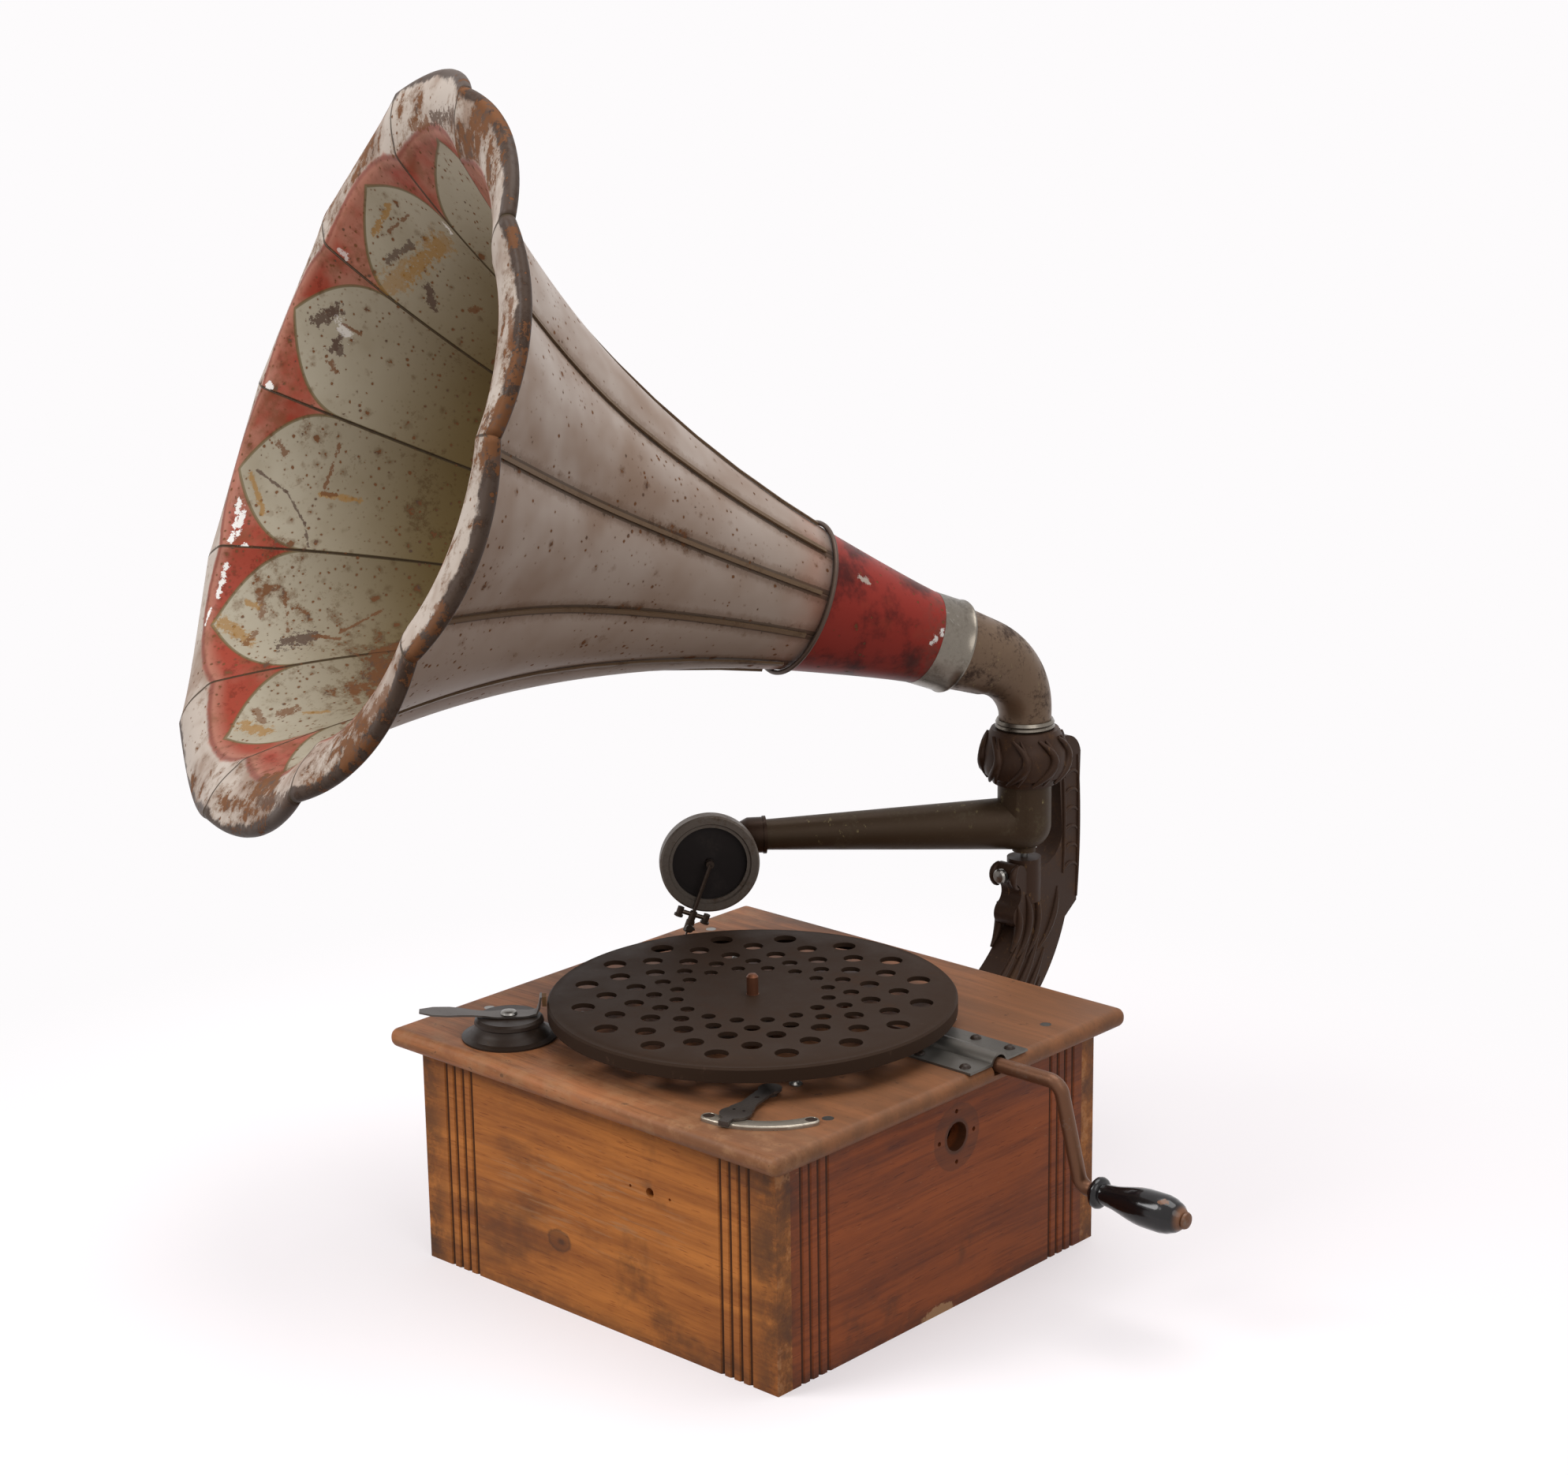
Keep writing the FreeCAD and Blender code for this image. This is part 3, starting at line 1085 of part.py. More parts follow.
def brake_pad():
    """The leather face that meets the platter's rim."""
    pad = Part.makeBox(PAD_THICK, 7, 6, FreeCAD.Vector(PAD_FACE - PAD_THICK, -3.5, 6.2))
    turn = FreeCAD.Rotation(FreeCAD.Vector(0, 0, 1), BRAKE_HEADING)
    return made("BrakePad", pad, at(BRAKE_X, BRAKE_Y, BRAKE_TOP + 0.2, turn))


def brake_pivot():
    return turned("BrakePivot", [(0, -7), (3, -7), (3, 1.8), (5.2, 1.8), (4.6, 3), (2.5, 3.8), (0, 4)],
                  at(BRAKE_X, BRAKE_Y, BRAKE_TOP))


piece(fuse("CrankSet", [winding_crank(), crank_end_rivet()]), "winding_crank")
piece(crank_pinion(), "crank_pinion")
piece(crank_handle(), "crank_handle")
piece(winding_plate(), "winding_plate")
piece(gather("CrankBearings", [crank_bush(), crank_inner_bearing()]), "crank_bearings")
piece(speed_strip(), "speed_strip")
piece(speed_lever(), "speed_lever")
piece(gather("FrictionArmSet", [friction_arm(), friction_pad()]), "friction_arm")
piece(brake_base(), "brake_base")
piece(brake_lever(), "brake_lever")
piece(brake_pad(), "brake_pad")
piece(brake_pivot(), "brake_pivot")


# Bracket on the back board

PIVOT_Y = size("pivot_y")
BACK_FACE = HALF_DEPTH
BRACKET_FOOT = size("cabinet_height") - 106
FOOT_PLATE = FreeCAD.Vector(50, 5, 98)


def bracket_outline():
    """The side view of the cast arm as (y, z) arcs and lines: foot, elbow, upright, boss, scroll."""
    boss = size("boss_top")
    wide = size("boss_radius")
    near = PIVOT_Y - wide
    far = PIVOT_Y + wide
    bar_in = PIVOT_Y + 30.5
    bar_out = PIVOT_Y + 50
    top = size("ring_top") - 13
    foot = BACK_FACE + 4
    low = BRACKET_FOOT
    return [
        ("arc", (foot, low), (foot + 72, low + 20), (PIVOT_Y + 5.6, low + 64)),
        ("arc", (PIVOT_Y + 5.6, low + 64), (PIVOT_Y + 22, low + 84), (PIVOT_Y + 34.6, low + 110)),
        ("line", (PIVOT_Y + 34.6, low + 110), (bar_out - 3, low + 119)),
        ("line", (bar_out - 3, low + 119), (bar_out, top - 12)),
        ("arc", (bar_out, top - 12), (bar_out - 5, top - 3), (bar_in - 4, top)),
        ("line", (bar_in - 4, top), (bar_in - 4, top - 18)),
        ("line", (bar_in - 4, top - 18), (bar_in, boss + 11)),
        ("arc", (bar_in, boss + 11), (bar_in - 6, boss - 1), (far + 1, boss - 7)),
        ("line", (far + 1, boss - 7), (far - 3, boss - 7)),
        ("line", (far - 3, boss - 7), (near + 3, boss - 7)),
        ("arc", (near + 3, boss - 7), (near - 10, boss - 6), (near - 7, boss - 14)),
        ("arc", (near - 7, boss - 14), (near - 2, boss - 21), (near - 7, boss - 30)),
        ("arc", (near - 7, boss - 30), (near - 10, boss - 38), (near, boss - 45.5)),
        ("arc", (near, boss - 45.5), (near - 34, low + 82), (foot, low + 70)),
        ("line", (foot, low + 70), (foot, low)),
    ]


def outline_wire(pieces, to_vector):
    edges = []
    for kind, *points in pieces:
        vectors = [to_vector(point) for point in points]
        if kind == "arc":
            edges.append(Part.Arc(*vectors).toShape())
        else:
            edges.append(Part.LineSegment(*vectors).toShape())
    return Part.Wire(edges)


def ring_outline():
    """The bulb-shaped ring at the bracket's head, as (radius, height)."""
    low = size("ring_bottom")
    high = size("ring_top")
    wide = size("ring_radius")
    bore = size("arm_big_radius") + size("run_gap")
    return [(bore, low), (wide - 7, low), (wide - 6, low + 3), (wide - 2, low + 6), (wide - 0.4, low + 11),
            (wide, low + 16), (wide - 0.6, low + 23), (wide - 3, low + 29), (wide - 4, low + 33), (wide - 6, high),
            (bore, high)]


def back_bracket():
    """One casting: foot, curved web, boss for the pivot pin and the ring round the arm's neck."""
    half = size("bracket_wide") / 2
    neck = size("arm_big_radius") + size("run_gap")
    lock_level = size("boss_top") - 8
    wire = outline_wire(bracket_outline(), lambda point: FreeCAD.Vector(-half, point[0], point[1]))
    web = Part.Face(wire).extrude(FreeCAD.Vector(2 * half, 0, 0))
    foot = Part.makeBox(*FOOT_PLATE, FreeCAD.Vector(-FOOT_PLATE.x / 2, BACK_FACE, BRACKET_FOOT - 6))
    boss = Part.makeCylinder(size("boss_radius"), 30, FreeCAD.Vector(0, PIVOT_Y, size("boss_top") - 30))
    space = Part.makeCylinder(size("arm_big_radius") + 7, size("ring_bottom") - size("boss_top"),
                              FreeCAD.Vector(0, PIVOT_Y, size("boss_top")))
    solid = web.fuse([foot, boss]).cut(space)
    ring = turned("BracketRing", ring_outline(), at(0, PIVOT_Y, 0))
    solid = solid.cut(Part.makeCylinder(neck, 60, FreeCAD.Vector(0, PIVOT_Y, size("ring_bottom") - 5)))
    for x, z in bracket_screw_places():
        solid = solid.cut(Part.makeCylinder(2.1, 8, FreeCAD.Vector(x, BACK_FACE - 1, z), FreeCAD.Vector(0, 1, 0)))
    pin_hole = Part.makeCylinder(size("pivot_pin_radius"), 30, FreeCAD.Vector(0, PIVOT_Y, size("boss_top") - 24))
    lock_hole = Part.makeCylinder(1.6, 20, FreeCAD.Vector(0, PIVOT_Y - 22, lock_level), FreeCAD.Vector(0, 1, 0))
    solid = solid.cut(pin_hole).cut(lock_hole)
    return fuse("Bracket", [made("BracketArm", solid), ring])


def pivot_pin():
    top = size("arm_level") - 13
    wide = size("pivot_pin_radius")
    low = size("boss_top") - 24
    outline = [(0, low), (wide, low), (wide, top - 1), (wide - 1, top), (0, top)]
    return turned("PivotPin", outline, at(0, PIVOT_Y, 0))


def pivot_lock_screw():
    """The knurled screw that holds the pin in the boss."""
    level = size("boss_top") - 8
    start = PIVOT_Y - size("pivot_pin_radius")
    outline = [(0, 0), (1.6, 0), (1.6, 20.5), (4.6, 20.5), (5, 21.4), (5, 24), (4, 25.4), (0, 26)]
    body = turned("LockScrew", outline)
    body.Placement = at(0, start, level, FreeCAD.Rotation(FreeCAD.Vector(1, 0, 0), 90))
    return body


# Tone arm, made along +X with its pivot at the origin

ARM_FRAME = at(0, PIVOT_Y, size("arm_level"), FreeCAD.Rotation(FreeCAD.Vector(0, 0, 1), -90 - size("arm_heading")))
NECK_TOP = 46
TIP_LENGTH = 9


def arm_form(wall):
    """Neck, round elbow, taper and straight tip, each smaller by the wall."""
    big = size("arm_big_radius") - wall
    small = size("arm_small_radius") - wall
    length = size("arm_length")
    neck = Part.makeCylinder(big, NECK_TOP + (1 if wall else 0))
    ball = Part.makeSphere(big)
    taper = Part.makeCone(big, small, length - TIP_LENGTH, FreeCAD.Vector(), FreeCAD.Vector(1, 0, 0))
    tip = Part.makeCylinder(small, TIP_LENGTH + (1 if wall else 0), FreeCAD.Vector(length - TIP_LENGTH, 0, 0),
                            FreeCAD.Vector(1, 0, 0))
    return ball.fuse([neck, taper, tip])


def tone_arm():
    outside = arm_form(0)
    low = -size("arm_big_radius")
    boss = Part.makeCylinder(8, 9, FreeCAD.Vector(0, 0, low - 1.2))
    cup = Part.makeCylinder(size("pivot_pin_radius") + size("fit_gap"), 20, FreeCAD.Vector(0, 0, -13 + 0.05 - 20))
    solid = outside.cut(arm_form(size("arm_wall"))).fuse(boss).cut(cup)
    return made("ToneArm", solid, ARM_FRAME)


SLEEVE_START = size("arm_length") - 8
SLEEVE_END = size("arm_length") + 4
BOX_CENTRE = FreeCAD.Vector(size("soundbox_reach"), 0, -size("soundbox_drop"))
BOX_BACK = size("soundbox_offset")


def neck_path(radius, extra=0.0):
    x = BOX_CENTRE.x
    z = BOX_CENTRE.z
    return bent_rod([(SLEEVE_END - 3 - extra, 0, 0), (x, 0, z), (x, BOX_BACK + extra, z)], 7, radius)


def coupling_sleeve():
    """The ring that turns on the arm's tip and the bent neck into the soundbox."""
    tip = size("arm_small_radius")
    bore = tip + size("fit_gap")
    length = SLEEVE_END - SLEEVE_START
    ring = Part.makeCylinder(tip + 1.7, length, FreeCAD.Vector(SLEEVE_START, 0, 0), FreeCAD.Vector(1, 0, 0))
    bead = Part.makeCylinder(tip + 2.4, 2, FreeCAD.Vector(SLEEVE_START, 0, 0), FreeCAD.Vector(1, 0, 0))
    shoulder = Part.makeCone(tip + 1.7, 7.4, 9, FreeCAD.Vector(SLEEVE_END, 0, 0), FreeCAD.Vector(1, 0, 0))
    hole = Part.makeCylinder(bore, length - 3.6, FreeCAD.Vector(SLEEVE_START, 0, 0), FreeCAD.Vector(1, 0, 0))
    solid = ring.fuse([bead, shoulder, neck_path(7.4)]).cut(hole).cut(neck_path(4.6, 1.5))
    return made("CouplingSleeve", solid, ARM_FRAME)


def box_frame(depth=0.0):
    """The soundbox's own frame: its centre, +Z out of the dark disc."""
    facing = FreeCAD.Rotation(FreeCAD.Vector(1, 0, 0), -90)
    return ARM_FRAME.multiply(FreeCAD.Placement(BOX_CENTRE + FreeCAD.Vector(0, BOX_BACK + depth, 0), facing))


def soundbox_back():
    wide = size("soundbox_radius")
    outline = [(4.6, 0), (wide - 4, 0), (wide - 2.5, 1.4), (wide - 2.5, 2.4), (4.6, 2.4)]
    return turned("BoxBack", outline, box_frame())


def soundbox_housing():
    wide = size("soundbox_radius")
    deep = size("soundbox_depth")
    outline = [(wide - 4, 2.4), (wide - 1.5, 2.4), (wide, 3.6), (wide, deep - 3), (wide - 4, deep - 3)]
    return turned("BoxShell", outline, box_frame())


def soundbox_front_ring():
    wide = size("soundbox_radius")
    deep = size("soundbox_depth")
    return turned("BoxRing", [(wide - 8.2, deep - 3), (wide, deep - 3), (wide, deep - 1), (wide - 1.2, deep),
                              (wide - 5.4, deep), (wide - 6.2, deep - 1.6), (wide - 8.2, deep - 1.6)], box_frame())


def soundbox_gaskets():
    wide = size("soundbox_radius") - 4
    rings = []
    for index, low in enumerate((4.6, 7.2)):
        outline = [(wide - 4, low), (wide, low), (wide, low + 2), (wide - 4, low + 2)]
        rings.append(turned("Gasket%d" % index, outline, box_frame()))
    return gather("BoxGaskets", rings)


def soundbox_diaphragm():
    wide = size("soundbox_radius") - 4.3
    return turned("Diaphragm", [(0, 6.6), (wide, 6.6), (wide, 7.2), (3, 7.2), (2.4, 9.8), (0, 9.8)], box_frame())


STYLUS_LEAN = 20


def stylus_vector(out, depth, aside=0.0):
    """A place by its distance from the soundbox centre along the bar, its depth and its offset."""
    lean = math.radians(STYLUS_LEAN)
    return FreeCAD.Vector(out * math.sin(lean) - aside * math.cos(lean),
                          out * math.cos(lean) + aside * math.sin(lean), depth)


STYLUS_DIRECTION = stylus_vector(1, 0)
STYLUS_SIDE = stylus_vector(0, 0, 1)
STYLUS_DEPTH = size("soundbox_depth") + 1.6
BOX_RIM = size("soundbox_radius")
OUT_OF_BOX = FreeCAD.Vector(0, 0, 1)


def stylus_bar():
    """The bar from the disc's stud over the rim, the yoke on the rim and the needle chuck."""
    foot = Part.makeCylinder(2.6, STYLUS_DEPTH - 10, stylus_vector(0, 9.8))
    bar = Part.makeCylinder(1.3, BOX_RIM + 3, stylus_vector(0, STYLUS_DEPTH - 0.2), STYLUS_DIRECTION)
    block = Part.makeCylinder(2.4, 8, stylus_vector(BOX_RIM + 0.5, STYLUS_DEPTH), STYLUS_DIRECTION)
    chuck = Part.makeCylinder(2.9, 7.5, stylus_vector(BOX_RIM + 7, STYLUS_DEPTH), STYLUS_DIRECTION)
    yoke = Part.makeCylinder(1.5, 20, stylus_vector(BOX_RIM + 2.6, STYLUS_DEPTH, -10), STYLUS_SIDE)
    solid = foot.fuse([bar, block, chuck, yoke])
    for aside in (-9, 9):
        post = stylus_vector(BOX_RIM - 0.2, STYLUS_DEPTH, aside)
        head = stylus_vector(BOX_RIM + 4.8, STYLUS_DEPTH, aside)
        solid = solid.fuse(Part.makeCylinder(2.2, 5, post, STYLUS_DIRECTION))
        solid = solid.fuse(Part.makeCylinder(3, 1.4, head, STYLUS_DIRECTION))
    solid = solid.cut(Part.makeCylinder(0.8, 12, stylus_vector(BOX_RIM + 5, STYLUS_DEPTH), STYLUS_DIRECTION))
    solid = solid.cut(Part.makeCylinder(1.05, 6, stylus_vector(BOX_RIM + 11, STYLUS_DEPTH), OUT_OF_BOX))
    return made("StylusBar", solid, box_frame())


def needle():
    shank = Part.makeCylinder(0.8, 8, stylus_vector(BOX_RIM + 7.5, STYLUS_DEPTH), STYLUS_DIRECTION)
    point = Part.makeCone(0.8, 0.15, 4, stylus_vector(BOX_RIM + 15.5, STYLUS_DEPTH), STYLUS_DIRECTION)
    return made("Needle", shank.fuse(point), box_frame())


def needle_screw():
    """The thumb screw that clamps the needle, its winged head towards the front."""
    foot = stylus_vector(BOX_RIM + 11, STYLUS_DEPTH + 0.85)
    shank = Part.makeCylinder(1.0, 6, foot, OUT_OF_BOX)
    head = Part.makeCylinder(2.6, 2.2, foot + FreeCAD.Vector(0, 0, 3.2), OUT_OF_BOX)
    wing = Part.makeBox(6.4, 1.2, 3.6, foot + FreeCAD.Vector(-3.2, -0.6, 4))
    return made("NeedleScrew", shank.fuse([head, wing]), box_frame())


# Horn, made along +Z with the pivot axis at the origin

HORN_TURN = FreeCAD.Rotation(FreeCAD.Vector(0, 0, 1), -90 - size("horn_heading")).multiply(
    FreeCAD.Rotation(FreeCAD.Vector(0, 1, 0), 90 - size("horn_rise")))
HORN_FRAME = at(0, PIVOT_Y, size("horn_level"), HORN_TURN)
HORN_AXIS = HORN_TURN.multVec(FreeCAD.Vector(0, 0, 1))
FIRST_SEAM = 168


def elbow_form(wall):
    """The tapered bend from the bracket ring to the horn's ferrule, through circles along its middle line."""
    low = size("ring_bottom") + 18.5
    start = size("elbow_start")
    rise = math.radians(90 - size("horn_rise"))
    tangent = size("horn_level") - start
    bend = tangent / math.tan(rise / 2)
    outward = FreeCAD.Vector(HORN_AXIS.x, HORN_AXIS.y, 0).normalize()
    small = size("elbow_start_radius")
    big = size("elbow_end_radius")
    extra = 1 if wall else 0
    stations = [(FreeCAD.Vector(0, PIVOT_Y, low - extra), FreeCAD.Vector(0, 0, 1), small)]
    steps = 20
    for step in range(steps + 1):
        angle = rise * step / steps
        place = FreeCAD.Vector(0, PIVOT_Y, start) + outward * (bend * (1 - math.cos(angle)))
        place += FreeCAD.Vector(0, 0, bend * math.sin(angle))
        along = outward * math.sin(angle) + FreeCAD.Vector(0, 0, math.cos(angle))
        stations.append((place, along, small + (big - small) * 0.62 * (step / steps) ** 1.3))
    end = FreeCAD.Vector(0, PIVOT_Y, size("horn_level")) + HORN_AXIS * (size("ferrule_end") - 6 + extra)
    stations.append((end, HORN_AXIS, big))
    sections = [Part.Wire(Part.Circle(place, along, radius - wall).toShape()) for place, along, radius in stations]
    return Part.makeLoft(sections, True, True)


def horn_elbow():
    return made("HornElbow", elbow_form(0).cut(elbow_form(size("elbow_wall"))))


def nickel_rings():
    """The ring that stands on the bracket and the ferrule between elbow and throat."""
    low = size("ring_top") + 0.3
    wide = size("elbow_start_radius")
    steps = [(0, 0), (1.6, 0), (2.4, 1.2), (1.4, 2.6), (2.2, 4), (1.2, 6), (0, 6)]
    seat_ring = turned("SeatRing", [(wide + out, low + up) for out, up in steps], at(0, PIVOT_Y, 0))
    big = size("elbow_end_radius") + 0.25
    start = size("ferrule_start")
    end = size("ferrule_end")
    ferrule = turned("Ferrule", [(big, start), (big + 1.1, start), (big + 1.6, start + 1.4), (big + 0.9, start + 3),
                                 (big + 1.0, end), (big, end)], HORN_FRAME)
    return gather("NickelRings", [seat_ring, ferrule])


def throat_points():
    """The red cone's outside as (radius, along)."""
    start = size("ferrule_end")
    end = size("throat_end")
    first = size("elbow_end_radius") + 1.1
    last = size("throat_radius")
    return [(first + (last - first) * (share ** 1.12), start + (end - start) * share)
            for share in (0, 0.15, 0.3, 0.45, 0.6, 0.75, 0.9, 1)]


def horn_throat():
    wall = size("horn_sheet")
    outside = throat_points()
    inside = [(radius - wall, along) for radius, along in reversed(outside)]
    return turned("Throat", outside + inside, HORN_FRAME)


def throat_ring():
    """The beaded wire over the joint of throat and panels."""
    wide = size("throat_radius") + 0.2
    along = size("throat_end")
    return turned("ThroatRing", arc_points((wide + 1.7, along), 1.6, 0, 330, 11), HORN_FRAME)


PANELS = int(size("panel_count"))
HALF_PANEL = math.radians(180.0 / PANELS)
FLARE_HEADING = 12.5
CREST_END_HEADING = 82
EDGE_TURN = 230
FLARE_MIDDLE = FreeCAD.Vector(108.5, 350, 0)
PANEL_OFFSET = 80


def left_of(heading_angle):
    """The normal towards the outside, for a heading measured from the horn axis; x is the radius, y is along."""
    return FreeCAD.Vector(math.cos(heading_angle), -math.sin(heading_angle), 0)


def arc_to(start, heading_angle, end):
    """Radius and turn of the arc that leaves start on a heading and meets end."""
    chord = end - start
    lean = math.atan2(chord.x, chord.y) - heading_angle
    return chord.Length / (2 * math.sin(lean)), 2 * lean


def panel_chain():
    """The outside of a panel's middle as arcs: lower flare, upper flare, crest, lip band and rolled edge."""
    throat = FreeCAD.Vector(size("throat_radius"), size("throat_end"), 0)
    crest = FreeCAD.Vector(size("crest_radius"), size("crest_start"), 0)
    band_end = FreeCAD.Vector(size("mouth_radius"), size("horn_mouth"), 0)
    first_heading = math.radians(FLARE_HEADING)
    first_radius, first_turn = arc_to(throat, first_heading, FLARE_MIDDLE)
    second_heading = first_heading + first_turn
    second_radius, second_turn = arc_to(FLARE_MIDDLE, second_heading, crest)
    crest_heading = second_heading + second_turn
    band_heading = math.radians(CREST_END_HEADING)
    band_start = crest + (left_of(crest_heading) - left_of(band_heading)) * size("crest_bend")
    band_radius, band_turn = arc_to(band_start, band_heading, band_end)
    return [(throat, first_heading, first_radius, first_turn),
            (FLARE_MIDDLE, second_heading, second_radius, second_turn),
            (crest, crest_heading, size("crest_bend"), band_heading - crest_heading),
            (band_start, band_heading, band_radius, band_turn),
            (band_end, band_heading + band_turn, size("edge_roll"), math.radians(EDGE_TURN))]


def chain_point(link, share, thick):
    """A point part-way along one arc, set in from the outside by the sheet's thickness."""
    start, first, radius, turn = link
    centre = start + left_of(first) * radius
    return centre - left_of(first + turn * share) * (radius + thick)


def horn_panel(index):
    """One petal: the thin outline swung about a leaning axis, so that it bulges, and trimmed at its two seams."""
    body = doc.addObject("PartDesign::Body", "Panel%02d" % index)
    sketch = sketch_on(body, "XZ_Plane", "PanelOutline%02d" % index)
    links = panel_chain()
    thick = size("horn_sheet")
    for link in links:
        sketch.addGeometry(Part.Arc(*[chain_point(link, share, 0) for share in (0, 0.5, 1)]), False)
    sketch.addGeometry(Part.LineSegment(chain_point(links[-1], 1, 0), chain_point(links[-1], 1, thick)), False)
    for link in reversed(links):
        sketch.addGeometry(Part.Arc(*[chain_point(link, share, thick) for share in (1, 0.5, 0)]), False)
    sketch.addGeometry(Part.LineSegment(chain_point(links[0], 0, thick), chain_point(links[0], 0, 0)), False)
    axis_start = FreeCAD.Vector(0, size("throat_end"), 0)
    axis_end = FreeCAD.Vector(PANEL_OFFSET, size("horn_mouth"), 0)
    sketch.addGeometry(Part.LineSegment(axis_start, axis_end), True)
    swing = body.newObject("PartDesign::Revolution", "PanelSwing%02d" % index)
    swing.Profile = sketch
    swing.ReferenceAxis = (sketch, ["Axis0"])
    swing.Angle = 64
    swing.Midplane = True
    trim = sketch_on(body, "XY_Plane", "PanelTrim%02d" % index)
    for side in (-1, 1):
        along = FreeCAD.Vector(math.cos(HALF_PANEL), side * math.sin(HALF_PANEL), 0)
        out = FreeCAD.Vector(-math.sin(HALF_PANEL), side * math.cos(HALF_PANEL), 0)
        near = along * 20
        far = along * 2 * size("mouth_radius")
        corners = [near, far, far + out * 200, near + out * 200]
        for first, second in zip(corners, corners[1:] + corners[:1]):
            trim.addGeometry(Part.LineSegment(first, second), False)
    pocket = body.newObject("PartDesign::Pocket", "PanelSides%02d" % index)
    pocket.Profile = trim
    pocket.Length = 2 * size("horn_mouth")
    pocket.Reversed = True
    body.Tip = pocket
    turn = FIRST_SEAM + (index + 0.5) * 360.0 / PANELS
    body.Placement = HORN_FRAME.multiply(at(0, 0, 0, FreeCAD.Rotation(FreeCAD.Vector(0, 0, 1), turn)))
    return body


def seam_point(link, share, thick):
    """Where the swung outline meets the seam plane, as (distance from the horn axis, along it)."""
    point = chain_point(link, share, thick)
    lean = math.atan2(PANEL_OFFSET, size("horn_mouth") - size("throat_end"))
    axis = FreeCAD.Vector(math.sin(lean), math.cos(lean), 0)
    start = FreeCAD.Vector(0, size("throat_end"), 0)
    foot = start + axis * (point - start).dot(axis)
    radius = (point - foot).Length
    square = FreeCAD.Vector(axis.y, -axis.x, 0)
    low = 0.0
    high = math.radians(60)
    for _ in range(40):
        swing = (low + high) / 2
        place = foot + square * (radius * math.cos(swing))
        if radius * math.sin(swing) < place.x * math.tan(HALF_PANEL):
            low = swing
        else:
            high = swing
    return math.hypot(place.x, radius * math.sin(swing)), place.y


def horn_seams():
    """The standing seams between the panels, from the throat ring to the lip."""
    links = panel_chain()
    half = size("seam_wide") / 2
    places = [seam_point(links[0], share, 0) for share in (0.04, 0.2, 0.4, 0.6, 0.8)]
    places += [seam_point(links[1], share, 0) for share in (0, 0.15, 0.3, 0.45, 0.6, 0.75, 0.93)]
    low = [FreeCAD.Vector(radius + 0.45, -half, along) for radius, along in places]
    high = [FreeCAD.Vector(radius + size("seam_high"), -half, along) for radius, along in reversed(places)]
    corners = low + high
    rib = Part.Face(Part.makePolygon(corners + corners[:1])).extrude(FreeCAD.Vector(0, 2 * half, 0))
    ribs = []
    for index in range(PANELS):
        turn = FreeCAD.Rotation(FreeCAD.Vector(0, 0, 1), FIRST_SEAM + index * 360.0 / PANELS)
        ribs.append(made("Seam%02d" % index, rib.copy(), HORN_FRAME.multiply(at(0, 0, 0, turn))))
    return gather("HornSeams", ribs)


def bracket_screws():
    back = FreeCAD.Rotation(FreeCAD.Vector(1, 0, 0), -90)
    return [round_screw("BracketScrew%d" % index, x, BACK_FACE + 5, z, 15, 4.2, back)
            for index, (x, z) in enumerate(bracket_screw_places())]


piece(back_bracket(), "back_bracket")
piece(pivot_pin(), "pivot_pin")
piece(pivot_lock_screw(), "pivot_lock_screw")
piece(tone_arm(), "tone_arm")
piece(coupling_sleeve(), "coupling_sleeve")
piece(soundbox_back(), "soundbox_back")
piece(soundbox_housing(), "soundbox_housing")
piece(soundbox_front_ring(), "soundbox_front_ring")
piece(soundbox_gaskets(), "soundbox_gaskets")
piece(soundbox_diaphragm(), "soundbox_diaphragm")
piece(stylus_bar(), "stylus_bar")
piece(needle(), "needle")
piece(needle_screw(), "needle_screw")
piece(horn_elbow(), "horn_elbow")
piece(nickel_rings(), "nickel_rings")
piece(horn_throat(), "horn_throat")
piece(throat_ring(), "throat_ring")
piece(gather("HornPanels", [horn_panel(index) for index in range(PANELS)]), "horn_panels")
piece(horn_seams(), "horn_seams")
piece(top_board(), "top_board")
piece(gather("CabinetScrewSet", [cabinet_screws()] + bracket_screws()), "cabinet_screws")
piece(gather("DeckScrewSet", [winding_plate_screws(), speed_strip_screws()]), "deck_screws")


# Every object is sound before anything is written
doc.recompute()
for item in doc.Objects:
    if "Invalid" in item.State or "Error" in item.State:
        raise RuntimeError("failed: " + item.Name)
for item in PIECES:
    if item.Shape.isNull() or not item.Shape.isValid():
        raise RuntimeError("bad shape: " + item.Label)

os.makedirs("parts", exist_ok=True)
for item in PIECES:
    item.Shape.exportStep(os.path.join("parts", item.Label + ".step"))
    print(item.Label, len(item.Shape.Solids), round(item.Shape.Volume, 1))
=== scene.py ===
"""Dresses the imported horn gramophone: finishes, the painted horn, the cast leaves and the stage."""

import json
import math
from functools import partialmethod

import bmesh
import bpy
from mathutils import Matrix, Vector
from mathutils.bvhtree import BVHTree


